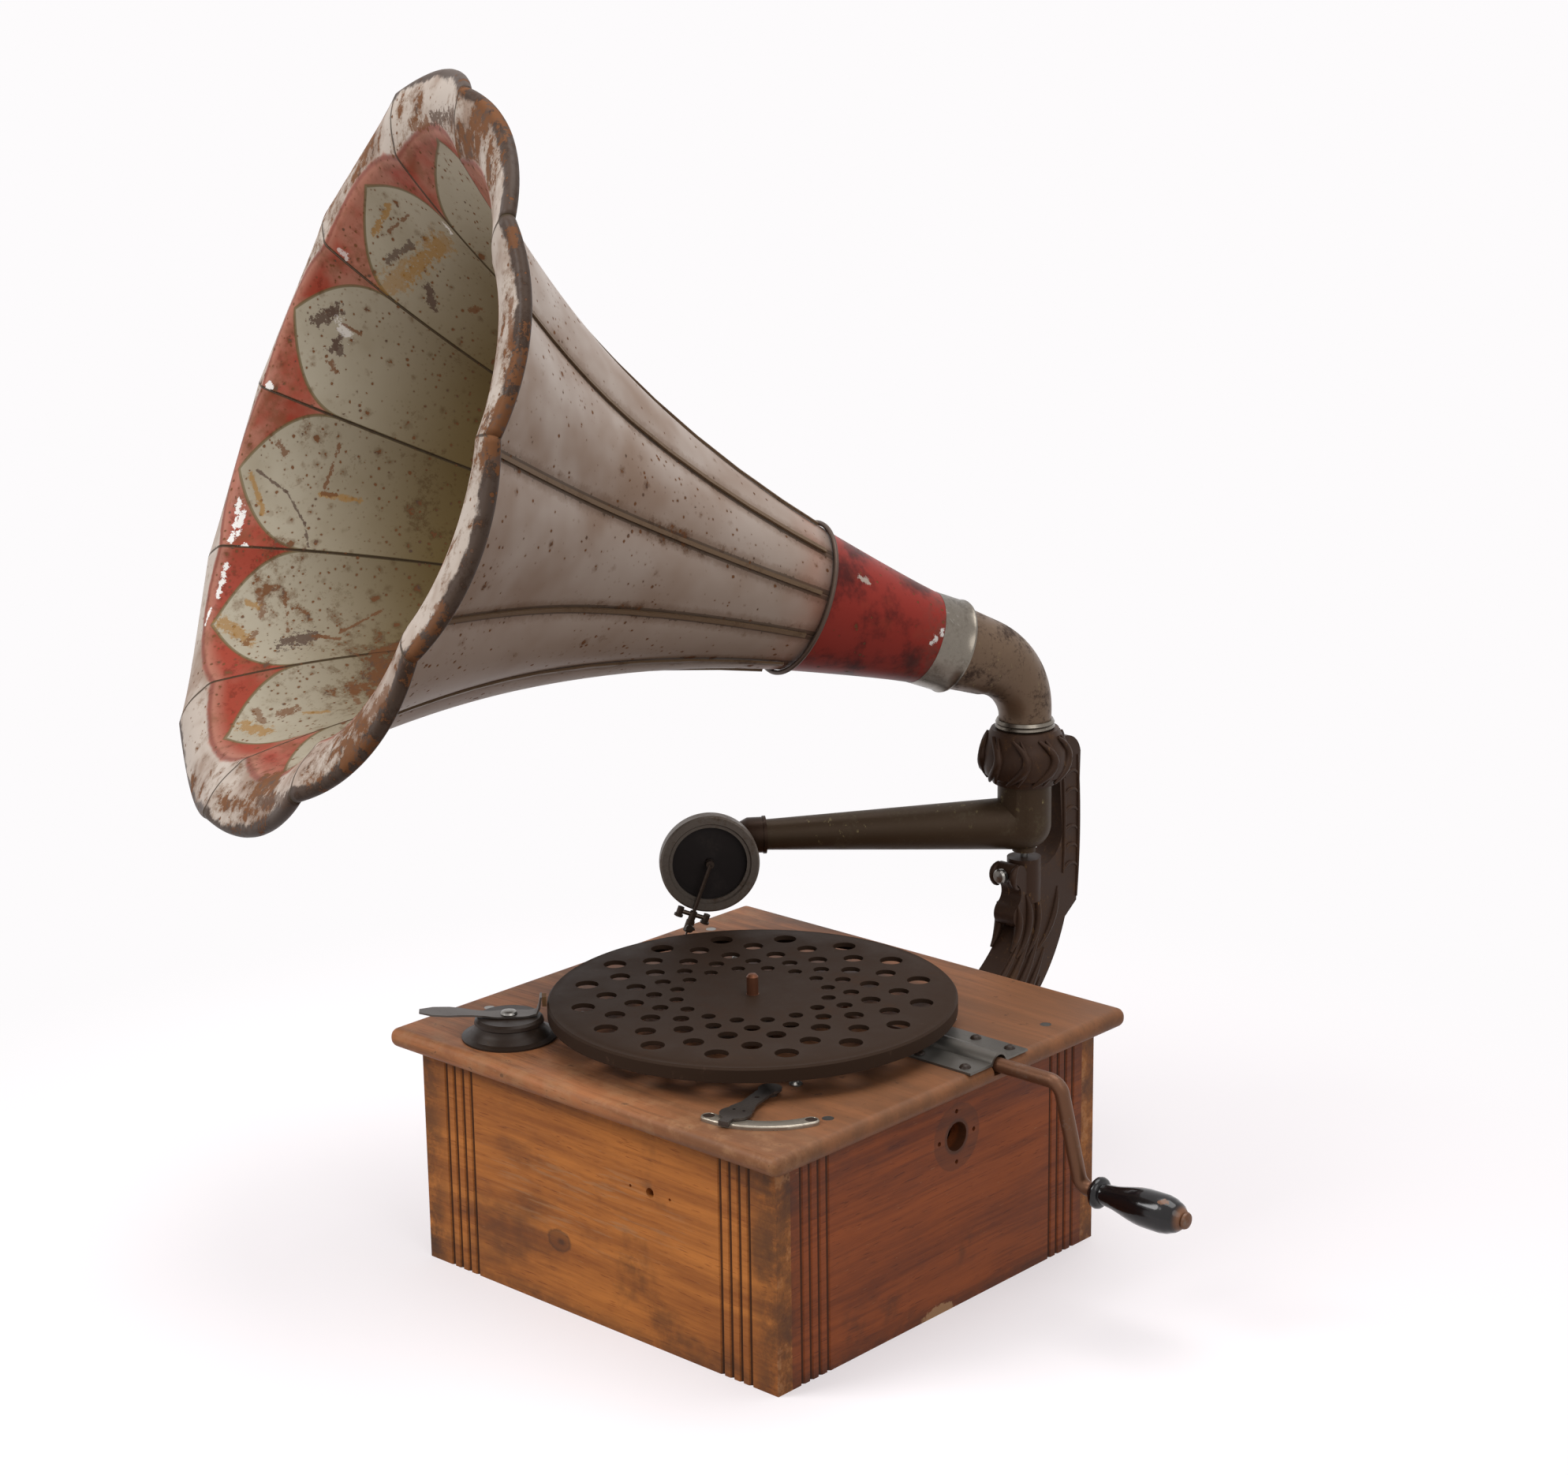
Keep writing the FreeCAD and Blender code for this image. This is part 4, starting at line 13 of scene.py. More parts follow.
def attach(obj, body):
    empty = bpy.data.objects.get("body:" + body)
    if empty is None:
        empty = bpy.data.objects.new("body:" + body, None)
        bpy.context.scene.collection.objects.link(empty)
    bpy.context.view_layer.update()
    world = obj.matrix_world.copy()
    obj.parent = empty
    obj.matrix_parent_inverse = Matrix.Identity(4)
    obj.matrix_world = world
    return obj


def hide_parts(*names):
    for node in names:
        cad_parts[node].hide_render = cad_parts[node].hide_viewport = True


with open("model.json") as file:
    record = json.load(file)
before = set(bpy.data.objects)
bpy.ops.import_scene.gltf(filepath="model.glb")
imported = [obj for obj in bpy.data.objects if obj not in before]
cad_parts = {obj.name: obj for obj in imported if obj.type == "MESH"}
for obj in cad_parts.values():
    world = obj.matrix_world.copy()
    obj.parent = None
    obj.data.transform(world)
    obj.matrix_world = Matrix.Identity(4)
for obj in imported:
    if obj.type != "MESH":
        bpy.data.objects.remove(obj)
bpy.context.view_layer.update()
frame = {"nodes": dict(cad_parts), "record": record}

bl_info = {
    "name": "Horn gramophone dressing",
    "version": (1, 0, 0),
    "blender": (4, 5, 0),
    "location": "3D View > Sidebar > Gramophone",
    "description": "Builds the finishes and the fine pieces of a table gramophone round its frame",
    "category": "Object",
}

# Shared measures, in metres and radians

PIVOT = Vector((0, 0.2624, 0))
HORN_LEVEL = 0.3223
HORN_HEADING = math.radians(25)
HORN_RISE = math.radians(21.65)
PANELS = 11
FIRST_SEAM = math.radians(168)
THROAT_END = 0.176
THROAT_RADIUS = 0.0476
FLARE_MIDDLE = (0.1085, 0.350)
FLARE_HEADING = math.radians(12.5)
CREST = (0.193, 0.4845)
CREST_BEND = 0.0105
BAND_HEADING = math.radians(82)
MOUTH = 0.4905
MOUTH_RADIUS = 0.231
EDGE_ROLL = 0.0034
EDGE_TURN = math.radians(230)
FLARE_LENGTH = 0.34392
BAND_END = 1.116
CREST_END = 0.026
CREST_RISE = 0.0022
LIP_DROP = 0.0050
LIP_SWELL = 0.0020
WARP_FROM = 0.33
EDGE_WARP = 0.011
CREST_LEAN = 0.0105
CREST_DROP = 0.0050
EDGE_PAINT_END = 1.138
PAINTED = 2
PETAL_TIP = 1.008
PETAL_POINT = 0.168
DULL_SPECULAR = 0.2
SHEET = 0.0008
PHOTO_SIZE = (1988, 1870)
FILM_WIDTH = 36
HALF_WIDTH = 0.147
HALF_DEPTH = 0.146
CABINET_HEIGHT = 0.140
GROOVE_FIRST = 0.021
GROOVE_PITCH = 0.0074
KNOT = (-0.030, -HALF_DEPTH, 0.0443)
KNOT_HEART = (-0.028, -HALF_DEPTH, 0.0440)
SMEAR = (0.136, -HALF_DEPTH, 0.088)
RUBBED = (-0.01, -HALF_DEPTH, 0.078)
PORT = (HALF_WIDTH, 0.0124, 0.109)
SIDE_CHIP = (HALF_WIDTH, -0.004, 0.0)
# Middle of the platter's painted shadow on the top board
PLATTER_SHADOW = (0, 0, 0.152)
HANDLE_END = 0.279
PANEL_OFFSET = 0.080
HORN = (Matrix.Translation(PIVOT + Vector((0, 0, HORN_LEVEL)))
        @ Matrix.Rotation(-math.pi / 2 - HORN_HEADING, 4, "Z")
        @ Matrix.Rotation(math.pi / 2 - HORN_RISE, 4, "Y"))
THROAT_START = HORN @ Vector((0, 0, 0.068))
BODY_OF = {node: body for body, nodes in frame["record"]["behaviour"]["bodies"].items() for node in nodes}


def colour(code):
    """A written colour, such as 8F5F33, as linear red, green, blue and alpha."""
    parts = [int(code[place:place + 2], 16) / 255 for place in (0, 2, 4)]
    return tuple(part / 12.92 if part <= 0.04045 else ((part + 0.055) / 1.055) ** 2.4
                 for part in parts) + (1.0,)


def tint(name, description, code):
    return bpy.props.FloatVectorProperty(name=name, description=description, subtype="COLOR", size=4,
                                         min=0, max=1, default=colour(code))


class CabinetLook(bpy.types.PropertyGroup):
    front_light: tint("Front light", "Pale grain of the front and left boards", "C67C3C")
    front_dark: tint("Front dark", "Dark grain of the front and left boards", "8A4E24")
    side_light: tint("Side light", "Pale grain of the winding side", "9A5029")
    side_dark: tint("Side dark", "Dark grain of the winding side", "5E2C16")
    top_light: tint("Top light", "Pale grain of the top board", "B07148")
    top_dark: tint("Top dark", "Dark grain of the top board", "6E4930")
    # Grime also colours the painted shade under the top board and the platter's painted shadow
    grime: tint("Grime", "Dirt at edges, grooves and corners", "3A261A")
    bare: tint("Bare wood", "Wood where the varnish has worn off", "AC8460")
    knot: tint("Knot", "Heart of the knot", "6E3D1E")


class HornLook(bpy.types.PropertyGroup):
    petal: tint("Petal", "Petals near the mouth", "A79E8C")
    # Petal deep is partly a deeper olive paint and partly painted shade deep in the horn
    petal_deep: tint("Petal deep", "Petals near the throat", "6A5836")
    ground: tint("Ground", "Red between the petals", "953F2F")
    # Painted shade in the groove along the crest
    ground_deep: tint("Deep ground", "Dark red line along the crest", "6E3026")
    ground_faded: tint("Faded ground", "Rubbed red and the band by the lip", "A67462")
    outline: tint("Outline", "Olive line round each petal", "66583A")
    seam: tint("Seam", "Dark line along each seam", "3C3020")
    outside: tint("Outside", "Outside of the panels", "BEB2AA")
    # Outside warm also colours the painted shade on the outside's lower part
    outside_warm: tint("Outside warm", "Pink and brown tint of the outside", "8F7868")
    lip: tint("Lip", "Paint of the lip", "B8ABA0")
    rust: tint("Rust", "Rust specks and patches", "6E482E")
    ochre: tint("Ochre", "Paler rust stains", "97703A")
    edge: tint("Lip edge", "Dark rolled edge of the lip", "3E2F26")
    bare_dark: tint("Bare sheet", "Chips down to dark sheet", "58463C")
    # Also the painted highlight along the crest's fold
    bare_bright: tint("Bright sheet", "Chips down to bright sheet", "E6E2DE")
    throat_dark: tint("Dark throat", "Dark clouds in the throat's red", "4E1D1A")
    throat: tint("Throat", "Red enamel of the throat cone", "8F322A")


class MetalLook(bpy.types.PropertyGroup):
    platter: tint("Platter", "Browned steel of the platter", "382A21")
    iron: tint("Iron", "Brown lacquered iron of the bracket", "402E24")
    arm: tint("Arm", "Lacquered tube of the tone arm", "453628")
    elbow: tint("Elbow", "Lacquered tube of the elbow", "715C4A")
    nickel: tint("Nickel", "Dull nickel plate", "7C756B")
    tin: tint("Tin", "Grey plate over the winding shaft", "6C6862")
    crank: tint("Crank", "Rusted winding rod", "6E4C38")
    bronze: tint("Bronze", "Coppery spindle", "744A35")


class StageLook(bpy.types.PropertyGroup):
    camera_place: bpy.props.FloatVectorProperty(
        name="Camera place", description="Where the photograph was taken from", subtype="XYZ", unit="LENGTH",
        default=(1.26942, -1.35651, 0.834585))
    camera_azimuth: bpy.props.FloatProperty(name="Azimuth", description="Turn of the view from the front",
                                            unit="ROTATION", default=math.radians(42.557))
    camera_elevation: bpy.props.FloatProperty(name="Elevation", description="Height of the view above level",
                                              unit="ROTATION", default=math.radians(15.180))
    camera_roll: bpy.props.FloatProperty(name="Roll", description="Roll of the view", unit="ROTATION",
                                         default=math.radians(-0.764))
    lens: bpy.props.FloatProperty(name="Lens", description="Focal length on a 36 mm frame", unit="CAMERA",
                                  default=73.54)
    floor: tint("Floor", "Pale floor under the cabinet", "FBF6F8")
    bounce: tint("Bounce", "Floor as the object's underside sees it", "8A8078")
    backdrop: tint("Backdrop", "White round the object", "FDFBFC")
    shadow_depth: bpy.props.FloatProperty(name="Shadow depth",
                                          description="Share of the floor that lamps light", subtype="FACTOR",
                                          min=0, max=1, default=0.55)


# Node trees


class Tree:
    """Short calls for a node tree."""

    def __init__(self, tree):
        self.tree = tree

    def feed(self, socket, value):
        if isinstance(value, bpy.types.NodeSocket):
            self.tree.links.new(value, socket)
        else:
            socket.default_value = value

    def add(self, kind, inputs=None, **settings):
        node = self.tree.nodes.new("ShaderNode" + kind)
        for key, value in settings.items():
            setattr(node, key, value)
        for key, value in (inputs or {}).items():
            self.feed(node.inputs[key], value)
        return node

    def math(self, operation, first, second=0.0, clamp=False):
        return self.add("Math", {0: first, 1: second}, operation=operation, use_clamp=clamp).outputs[0]

    times = partialmethod(math, "MULTIPLY")
    plus = partialmethod(math, "ADD")
    less = partialmethod(math, "SUBTRACT")
    most = partialmethod(math, "MAXIMUM")
    ratio = partialmethod(math, "DIVIDE")
    power = partialmethod(math, "POWER")
    size = partialmethod(math, "ABSOLUTE")

    def swing(self, value, amount):
        """How far value stands from a half, times amount."""
        return self.times(self.less(value, 0.5), amount)

    def mix(self, factor, first, second, blend="MIX"):
        node = self.add("Mix", {0: factor, 6: first, 7: second}, data_type="RGBA", blend_type=blend)
        return node.outputs[2]

    def cover(self, base, paint, mask, share, blend="MIX"):
        """Paint laid over the base where the mask is, at a share of its strength."""
        return self.mix(self.times(mask, share), base, paint, blend)

    def blend(self, factor, first, second):
        return self.add("Mix", {0: factor, 2: first, 3: second}, data_type="FLOAT").outputs[0]

    def step(self, value, low, high):
        """0 below low, 1 above high, smooth between; low may be the larger."""
        node = self.add("MapRange", {"Value": value, "From Min": low, "From Max": high},
                        interpolation_type="SMOOTHSTEP")
        return node.outputs[0]

    def noise(self, vector, scale, detail=4.0, roughness=0.55):
        inputs = {"Vector": vector, "Scale": scale, "Detail": detail, "Roughness": roughness}
        return self.add("TexNoise", inputs).outputs[0]

    def stretch(self, vector, scale, turn=(0, 0, 0)):
        return self.add("Mapping", {"Vector": vector, "Rotation": turn, "Scale": scale}).outputs[0]

    def separate(self, vector):
        return self.add("SeparateXYZ", {0: vector}).outputs


def shader_group(name, inputs, outputs, build):
    """A node group, built once: sockets named by kind, build(tree, inputs) gives the outputs' sockets."""
    if name in bpy.data.node_groups:
        return bpy.data.node_groups[name]
    group = bpy.data.node_groups.new(name, "ShaderNodeTree")
    for side, kinds in (("INPUT", inputs), ("OUTPUT", outputs)):
        for kind, labels in kinds.items():
            for label in labels.split():
                group.interface.new_socket(name=label, in_out=side, socket_type="NodeSocket" + kind)
    start = group.nodes.new("NodeGroupInput")
    end = group.nodes.new("NodeGroupOutput")
    for label, socket in build(Tree(group), start.outputs).items():
        group.links.new(socket, end.inputs[label])
    return group


def speck_layer(tree, place, scale, density, low, high, ragged):
    """Ragged round specks: a share of the cells holds one, each of its own size, in cell widths."""
    cells = tree.add("TexVoronoi", {"Vector": place, "Scale": scale, "Randomness": 1.0})
    pick, grade, _ = tree.separate(cells.outputs["Color"])
    here = tree.step(tree.less(density, pick), 0.0, 0.01)
    reach = tree.blend(tree.power(grade, 2.5), low, high)
    edge = tree.plus(cells.outputs["Distance"], tree.swing(ragged, 0.45))
    inside = tree.less(reach, edge)
    return (tree.times(here, tree.step(inside, 0.0, 0.05)), tree.times(here, tree.step(inside, -0.22, 0.05)))


def rust_group():
    """Scattered specks with faint stains round them, larger patches with ragged edges, and fine dirt."""
    def build(tree, given):
        place = given["Vector"]
        ragged = tree.noise(place, 420.0, 3.0)
        clump = tree.step(tree.noise(place, 16.0, 3.0, 0.6), 0.40, 0.66)
        density = tree.times(given["Specks"], tree.plus(0.25, clump))
        small, small_stain = speck_layer(tree, place, 270.0, density, 0.06, 0.34, ragged)
        big, big_stain = speck_layer(tree, place, 92.0, tree.times(density, 0.5), 0.05, 0.24, ragged)
        stain = tree.most(big_stain, tree.times(small_stain, 0.6))
        fine = tree.noise(place, 105.0, 6.0, 0.75)
        wide = tree.noise(place, 13.0, 4.0, 0.6)
        level = tree.plus(tree.times(fine, 0.5), tree.times(wide, 0.7))
        cut = tree.less(0.97, tree.times(given["Patches"], 0.3))
        patches = tree.step(level, cut, tree.plus(cut, 0.03))
        halo = tree.step(level, tree.less(cut, 0.06), cut)
        mask = tree.most(tree.most(small, big), patches)
        deep = tree.step(tree.noise(place, 160.0, 3.0, 0.6), 0.50, 0.66)
        rust = tree.mix(deep, given["Rust"], given["Bare"])
        stain = tree.times(tree.most(stain, halo), 0.45)
        base = tree.mix(stain, given["Base"], given["Stain"], "MULTIPLY")
        return {"Color": tree.cover(base, rust, mask, 0.94), "Mask": mask}
    return shader_group("Rust and chips", {"Vector": "Vector", "Color": "Base Rust Bare Stain",
                                           "Float": "Specks Patches"}, {"Color": "Color", "Float": "Mask"},
                        build)


def streak_group():
    """1 near the line from Start to End, with a ragged edge, and 0 away from it."""
    def build(tree, given):
        def vector(operation, *inputs):
            return tree.add("VectorMath", dict(enumerate(inputs)), operation=operation).outputs
        run = vector("SUBTRACT", given["End"], given["Start"])[0]
        offset = vector("SUBTRACT", given["Vector"], given["Start"])[0]
        share = tree.ratio(vector("DOT_PRODUCT", offset, run)[1], vector("DOT_PRODUCT", run, run)[1],
                          clamp=True)
        foot = tree.add("VectorMath", {0: run, "Scale": share}, operation="SCALE").outputs[0]
        away = vector("LENGTH", vector("SUBTRACT", offset, foot)[0])[1]
        ragged = tree.swing(given["Ragged"], 9.0)
        away = tree.plus(away, tree.times(ragged, given["Radius"]))
        reach = tree.times(given["Radius"], given["Fade"])
        return {"Mask": tree.step(away, tree.plus(given["Radius"], reach), given["Radius"])}
    return shader_group("Streak", {"Vector": "Vector Start End", "Float": "Radius Fade Ragged"},
                        {"Float": "Mask"}, build)


def wood_group():
    """Varnished softwood with its grain along X of the vector: rings, fine streaks, blotches, dirt and
    scratches.
    """
    def build(tree, given):
        place = given["Vector"]
        bend = tree.noise(tree.stretch(place, (3.0, 9.0, 9.0)), 1.0, 3.0, 0.5)
        shift = tree.add("CombineXYZ", {1: tree.times(bend, 0.035), 2: tree.times(bend, 0.02)})
        flow = tree.add("VectorMath", {0: place, 1: shift.outputs[0]}, operation="ADD").outputs[0]
        rings = tree.noise(tree.stretch(flow, (2.0, 55.0, 55.0)), 1.0, 3.0, 0.6)
        streaks = tree.noise(tree.stretch(flow, (14.0, 420.0, 420.0)), 1.0, 3.0, 0.7)
        dashes = tree.step(tree.noise(tree.stretch(flow, (60.0, 900.0, 900.0)), 1.0, 2.0, 0.6), 0.60, 0.72)
        blotch = tree.noise(tree.stretch(place, (0.6, 1.0, 1.0)), 12.0, 5.0, 0.65)
        tone = tree.plus(tree.times(rings, 0.9), tree.times(streaks, 0.35))
        tone = tree.plus(tone, tree.times(blotch, 0.55))
        base = tree.mix(tree.step(tone, 0.62, 1.12), given["Dark"], given["Light"])
        base = tree.cover(base, given["Dark"], dashes, 0.5, "MULTIPLY")
        lines = tree.step(tree.noise(tree.stretch(flow, (5.0, 260.0, 260.0)), 1.0, 2.0, 0.5), 0.55, 0.66)
        base = tree.cover(base, given["Dark"], lines, 0.4)
        dirt = tree.step(blotch, 0.47, 0.3)
        base = tree.cover(base, given["Grime"], dirt, given["Blotches"])
        scratch = tree.noise(tree.stretch(place, (130.0, 900.0, 900.0), turn=(0.2, 0.4, 0.9)), 1.0, 2.0, 0.6)
        worn = tree.times(tree.step(scratch, 0.70, 0.76), given["Scratches"])
        base = tree.mix(worn, base, given["Bare"])
        rough = tree.plus(0.42, tree.times(blotch, 0.25))
        height = tree.less(tree.times(streaks, 0.6), tree.times(dashes, 0.5))
        return {"Color": base, "Roughness": rough, "Height": height}
    return shader_group("Varnished wood", {"Vector": "Vector", "Color": "Light Dark Grime Bare",
                                           "Float": "Blotches Scratches"},
                        {"Color": "Color", "Float": "Roughness Height"}, build)


def metal_group():
    """Aged metal: a clean colour, a tarnish colour in clouds and specks, and uneven gloss."""
    def build(tree, given):
        place = given["Vector"]
        cloud = tree.noise(place, 38.0, 6.0, 0.68)
        fine = tree.noise(place, 420.0, 3.0, 0.7)
        level = tree.plus(tree.times(cloud, 0.75), tree.times(fine, 0.3))
        flecks = tree.step(tree.noise(tree.stretch(place, (1.0, 1.0, 0.45)), 190.0, 5.0, 0.75), 0.60, 0.70)
        patches = tree.step(tree.noise(place, 17.0, 4.0, 0.6), 0.46, 0.62)
        cut = tree.less(0.72, tree.times(given["Amount"], 0.4))
        mask = tree.step(level, cut, tree.plus(cut, given["Softness"]))
        base = tree.mix(mask, given["Clean"], given["Tarnish"])
        base = tree.cover(base, tree.mix(0.5, base, given["Tarnish"], "MULTIPLY"), fine, 0.25)
        flecks = tree.times(tree.times(flecks, patches), given["Wear"])
        base = tree.mix(flecks, base, given["Fleck"])
        rough = tree.blend(mask, given["Smooth"], given["Rough"])
        rough = tree.plus(rough, tree.swing(cloud, 0.3), clamp=True)
        return {"Color": base, "Roughness": rough, "Height": level}
    return shader_group("Aged metal", {"Vector": "Vector", "Color": "Clean Tarnish Fleck",
                                       "Float": "Wear Amount Softness Smooth Rough"},
                        {"Color": "Color", "Float": "Roughness Height"}, build)


def petal_group():
    """Where a petal and its outline lie, from metric distances to the Seam and to the panel's Middle."""
    def build(tree, given):
        left = tree.less(1.0, tree.ratio(tree.less(given["Tip"], given["Along"]), given["Point"]))
        left = tree.most(left, 0.0)
        wide = tree.plus(given["Seam"], given["Middle"])
        half = tree.less(1.0, tree.power(left, given["Arch"]))
        gap = tree.less(tree.times(half, wide), given["Middle"])
        slope = tree.times(tree.power(left, tree.less(given["Arch"], 1.0)), wide)
        slope = tree.times(slope, tree.ratio(given["Arch"], given["Reach"]))
        steep = tree.math("SQRT", tree.plus(1.0, tree.times(slope, slope)))
        inside = tree.ratio(gap, steep)
        line = tree.step(tree.size(inside), given["Line"], tree.times(given["Line"], 0.55))
        return {"Petal": tree.step(inside, -0.0003, 0.0003), "Outline": line}
    return shader_group("Petal pattern", {"Float": "Seam Middle Along Tip Point Reach Arch Line"},
                        {"Float": "Petal Outline"}, build)


def start_material(name, metallic=0.0, roughness=0.5, **plain):
    """A material with only a Principled shader; plain sets sockets that are the same all over."""
    material = bpy.data.materials.new(name)
    material.use_nodes = True
    tree = Tree(material.node_tree)
    shader = material.node_tree.nodes["Principled BSDF"]
    shader.inputs["Metallic"].default_value = metallic
    shader.inputs["Specular IOR Level"].default_value = DULL_SPECULAR
    shader.inputs["Roughness"].default_value = roughness
    for label, value in plain.items():
        shader.inputs[label.replace("_", " ")].default_value = value
    place = tree.add("TexCoord").outputs["Object"]
    return material, tree, shader, place


def use_group(tree, group, inputs):
    node = tree.add("Group", node_tree=group)
    for label, value in inputs.items():
        tree.feed(node.inputs[label], value)
    return node.outputs


def bump(tree, shader, height, strength, distance=0.001):
    node = tree.add("Bump", {"Height": height, "Strength": strength, "Distance": distance})
    tree.feed(shader.inputs["Normal"], node.outputs[0])


def aged_metal(name, clean, tarnish, amount=0.5, softness=0.2, metallic=0.9, smooth=0.3, rough=0.6,
               relief=0.15, wear=0.0, fleck="8C7458", specular=0.2):
    material, tree, shader, place = start_material(name, metallic, Specular_IOR_Level=specular)
    out = use_group(tree, metal_group(), {"Vector": place, "Clean": clean, "Tarnish": tarnish,
                                          "Amount": amount, "Softness": softness, "Smooth": smooth,
                                          "Rough": rough, "Fleck": colour(fleck), "Wear": wear})
    tree.feed(shader.inputs["Base Color"], out["Color"])
    tree.feed(shader.inputs["Roughness"], out["Roughness"])
    bump(tree, shader, out["Height"], relief, 0.0004)
    return material


def wood_material(name, light, dark, look, turn, blotches=0.5, scratches=0.3, place_marks=None):
    """turn brings the board's grain onto X; place_marks(tree, place, colour) paints a board's own marks."""
    material, tree, shader, place = start_material(name, 0.0, 0.5, Coat_Weight=0.05, Coat_Roughness=0.3)
    grain = tree.stretch(place, (1, 1, 1), turn=turn)
    out = use_group(tree, wood_group(), {"Vector": grain, "Light": light, "Dark": dark, "Grime": look.grime,
                                         "Bare": look.bare, "Blotches": blotches, "Scratches": scratches})
    base = out["Color"]
    if place_marks:
        base = place_marks(tree, place, base)
    tree.feed(shader.inputs["Base Color"], base)
    tree.feed(shader.inputs["Roughness"], out["Roughness"])
    bump(tree, shader, out["Height"], 0.25, 0.0004)
    return material


def spot(tree, place, centre, radius, soft, stretch=(1, 1, 1), ragged=0.0):
    """1 inside a ball round centre, fading over soft; stretch makes it an ellipsoid, ragged frays its edge."""
    offset = tree.add("VectorMath", {0: place, 1: centre}, operation="SUBTRACT").outputs[0]
    scaled = tree.add("VectorMath", {0: offset, 1: stretch}, operation="MULTIPLY").outputs[0]
    away = tree.add("VectorMath", {0: scaled}, operation="LENGTH").outputs[1]
    if ragged:
        frayed = tree.less(tree.noise(place, 160.0, 4.0, 0.7), 0.5)
        away = tree.plus(away, tree.times(frayed, ragged))
    return tree.step(away, radius + soft, radius)


def groove_lines(tree, value, half):
    """1 in the V grooves near both ends of a face; value runs across them from the face's middle."""
    away = tree.less(half - GROOVE_FIRST, tree.size(value))
    nearest = tree.times(tree.math("ROUND", tree.ratio(away, GROOVE_PITCH)), GROOVE_PITCH)
    line = tree.step(tree.size(tree.less(away, nearest)), 0.0012, 0.0006)
    among = tree.step(tree.size(tree.less(away, GROOVE_PITCH * 1.5)), GROOVE_PITCH * 1.8, GROOVE_PITCH * 1.7)
    return tree.times(line, among)


def soft_material(name, dark, pale, scale, roughness):
    """Leather or rubber: a fine grain that carries colour, gloss and relief."""
    material, tree, shader, place = start_material(name)
    grain = tree.noise(place, scale, 4.0, 0.6)
    tree.feed(shader.inputs["Base Color"], tree.mix(grain, colour(dark), colour(pale)))
    tree.feed(shader.inputs["Roughness"], tree.blend(grain, roughness, roughness + 0.15))
    bump(tree, shader, grain, 0.3, 0.0003)
    return material


def place_object(name, data, matrix=None):
    item = bpy.data.objects.new(name, data)
    bpy.context.scene.collection.objects.link(item)
    if matrix:
        item.matrix_world = matrix
    return item


def dress(node, material):
    """Gives a carried-over part its finish."""
    slots = frame["nodes"][node].data.materials
    slots.clear()
    slots.append(material)


def smooth_form(node, material):
    """A merged, smooth-shaded form that stands for a carried-over part with curved surfaces."""
    bm = bmesh.new()
    bm.from_mesh(frame["nodes"][node].data)
    bmesh.ops.remove_doubles(bm, verts=bm.verts[:], dist=2e-6)
    for face in bm.faces:
        face.material_index = 0
    if node == "horn_seams":
        bmesh.ops.transform(bm, matrix=HORN.inverted(), verts=bm.verts[:])
        warp_mouth(bm.verts)
        bmesh.ops.transform(bm, matrix=HORN, verts=bm.verts[:])
    piece = finish_mesh(bm, node + "_form", [material], BODY_OF[node], sharp=32)
    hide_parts(node)


def finish_mesh(bm, name, materials, body, sharp=40):
    """Turns a bmesh into a piece that rides on a body."""
    mesh = bpy.data.meshes.new(name)
    bm.to_mesh(mesh)
    bm.free()
    if "custom_normal" in mesh.attributes:
        mesh.attributes.remove(mesh.attributes["custom_normal"])
    piece = place_object(name, mesh)
    for material in materials:
        mesh.materials.append(material)
    mesh.polygons.foreach_set("use_smooth", [True] * len(mesh.polygons))
    mesh.set_sharp_from_angle(angle=math.radians(sharp))
    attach(piece, body)
    return piece


# The horn's sheet


def left_of(heading):
    """The outward normal of a heading measured from the horn's axis, as (out, along)."""
    return Vector((math.cos(heading), 0, -math.sin(heading)))


def arc_to(start, heading, end):
    """Radius and turn of the arc that leaves start on a heading and meets end."""
    chord = end - start
    lean = math.atan2(chord.x, chord.z) - heading
    return chord.length / (2 * math.sin(lean)), 2 * lean


def panel_arcs():
    """A panel's middle line as (centre, turn, steps): two arcs of flare, crest, lip band, rolled edge."""
    throat = Vector((THROAT_RADIUS, 0, THROAT_END))
    middle = Vector((FLARE_MIDDLE[0], 0, FLARE_MIDDLE[1]))
    crest = Vector((CREST[0], 0, CREST[1]))
    band_end = Vector((MOUTH_RADIUS, 0, MOUTH))
    first_radius, first_turn = arc_to(throat, FLARE_HEADING, middle)
    second = FLARE_HEADING + first_turn
    second_radius, second_turn = arc_to(middle, second, crest)
    third = second + second_turn
    band_start = crest + (left_of(third) - left_of(BAND_HEADING)) * CREST_BEND
    band_radius, band_turn = arc_to(band_start, BAND_HEADING, band_end)
    fourth = BAND_HEADING + band_turn
    return throat, [(throat + left_of(FLARE_HEADING) * first_radius, first_turn, 12),
                    (middle + left_of(second) * second_radius, second_turn, 18),
                    (crest + left_of(third) * CREST_BEND, BAND_HEADING - third, 6),
                    (band_start + left_of(BAND_HEADING) * band_radius, band_turn, 14),
                    (band_end + left_of(fourth) * EDGE_ROLL, EDGE_TURN, 12)]


def spin_arc(bm, last, centre, axis, turn, steps):
    """Draws an arc of edges from a vertex and returns its far end."""
    made = bmesh.ops.spin(bm, geom=[last], cent=centre, axis=axis, angle=turn, steps=steps,
                          use_duplicate=False)
    return [item for item in made["geom_last"] if isinstance(item, bmesh.types.BMVert)][0]


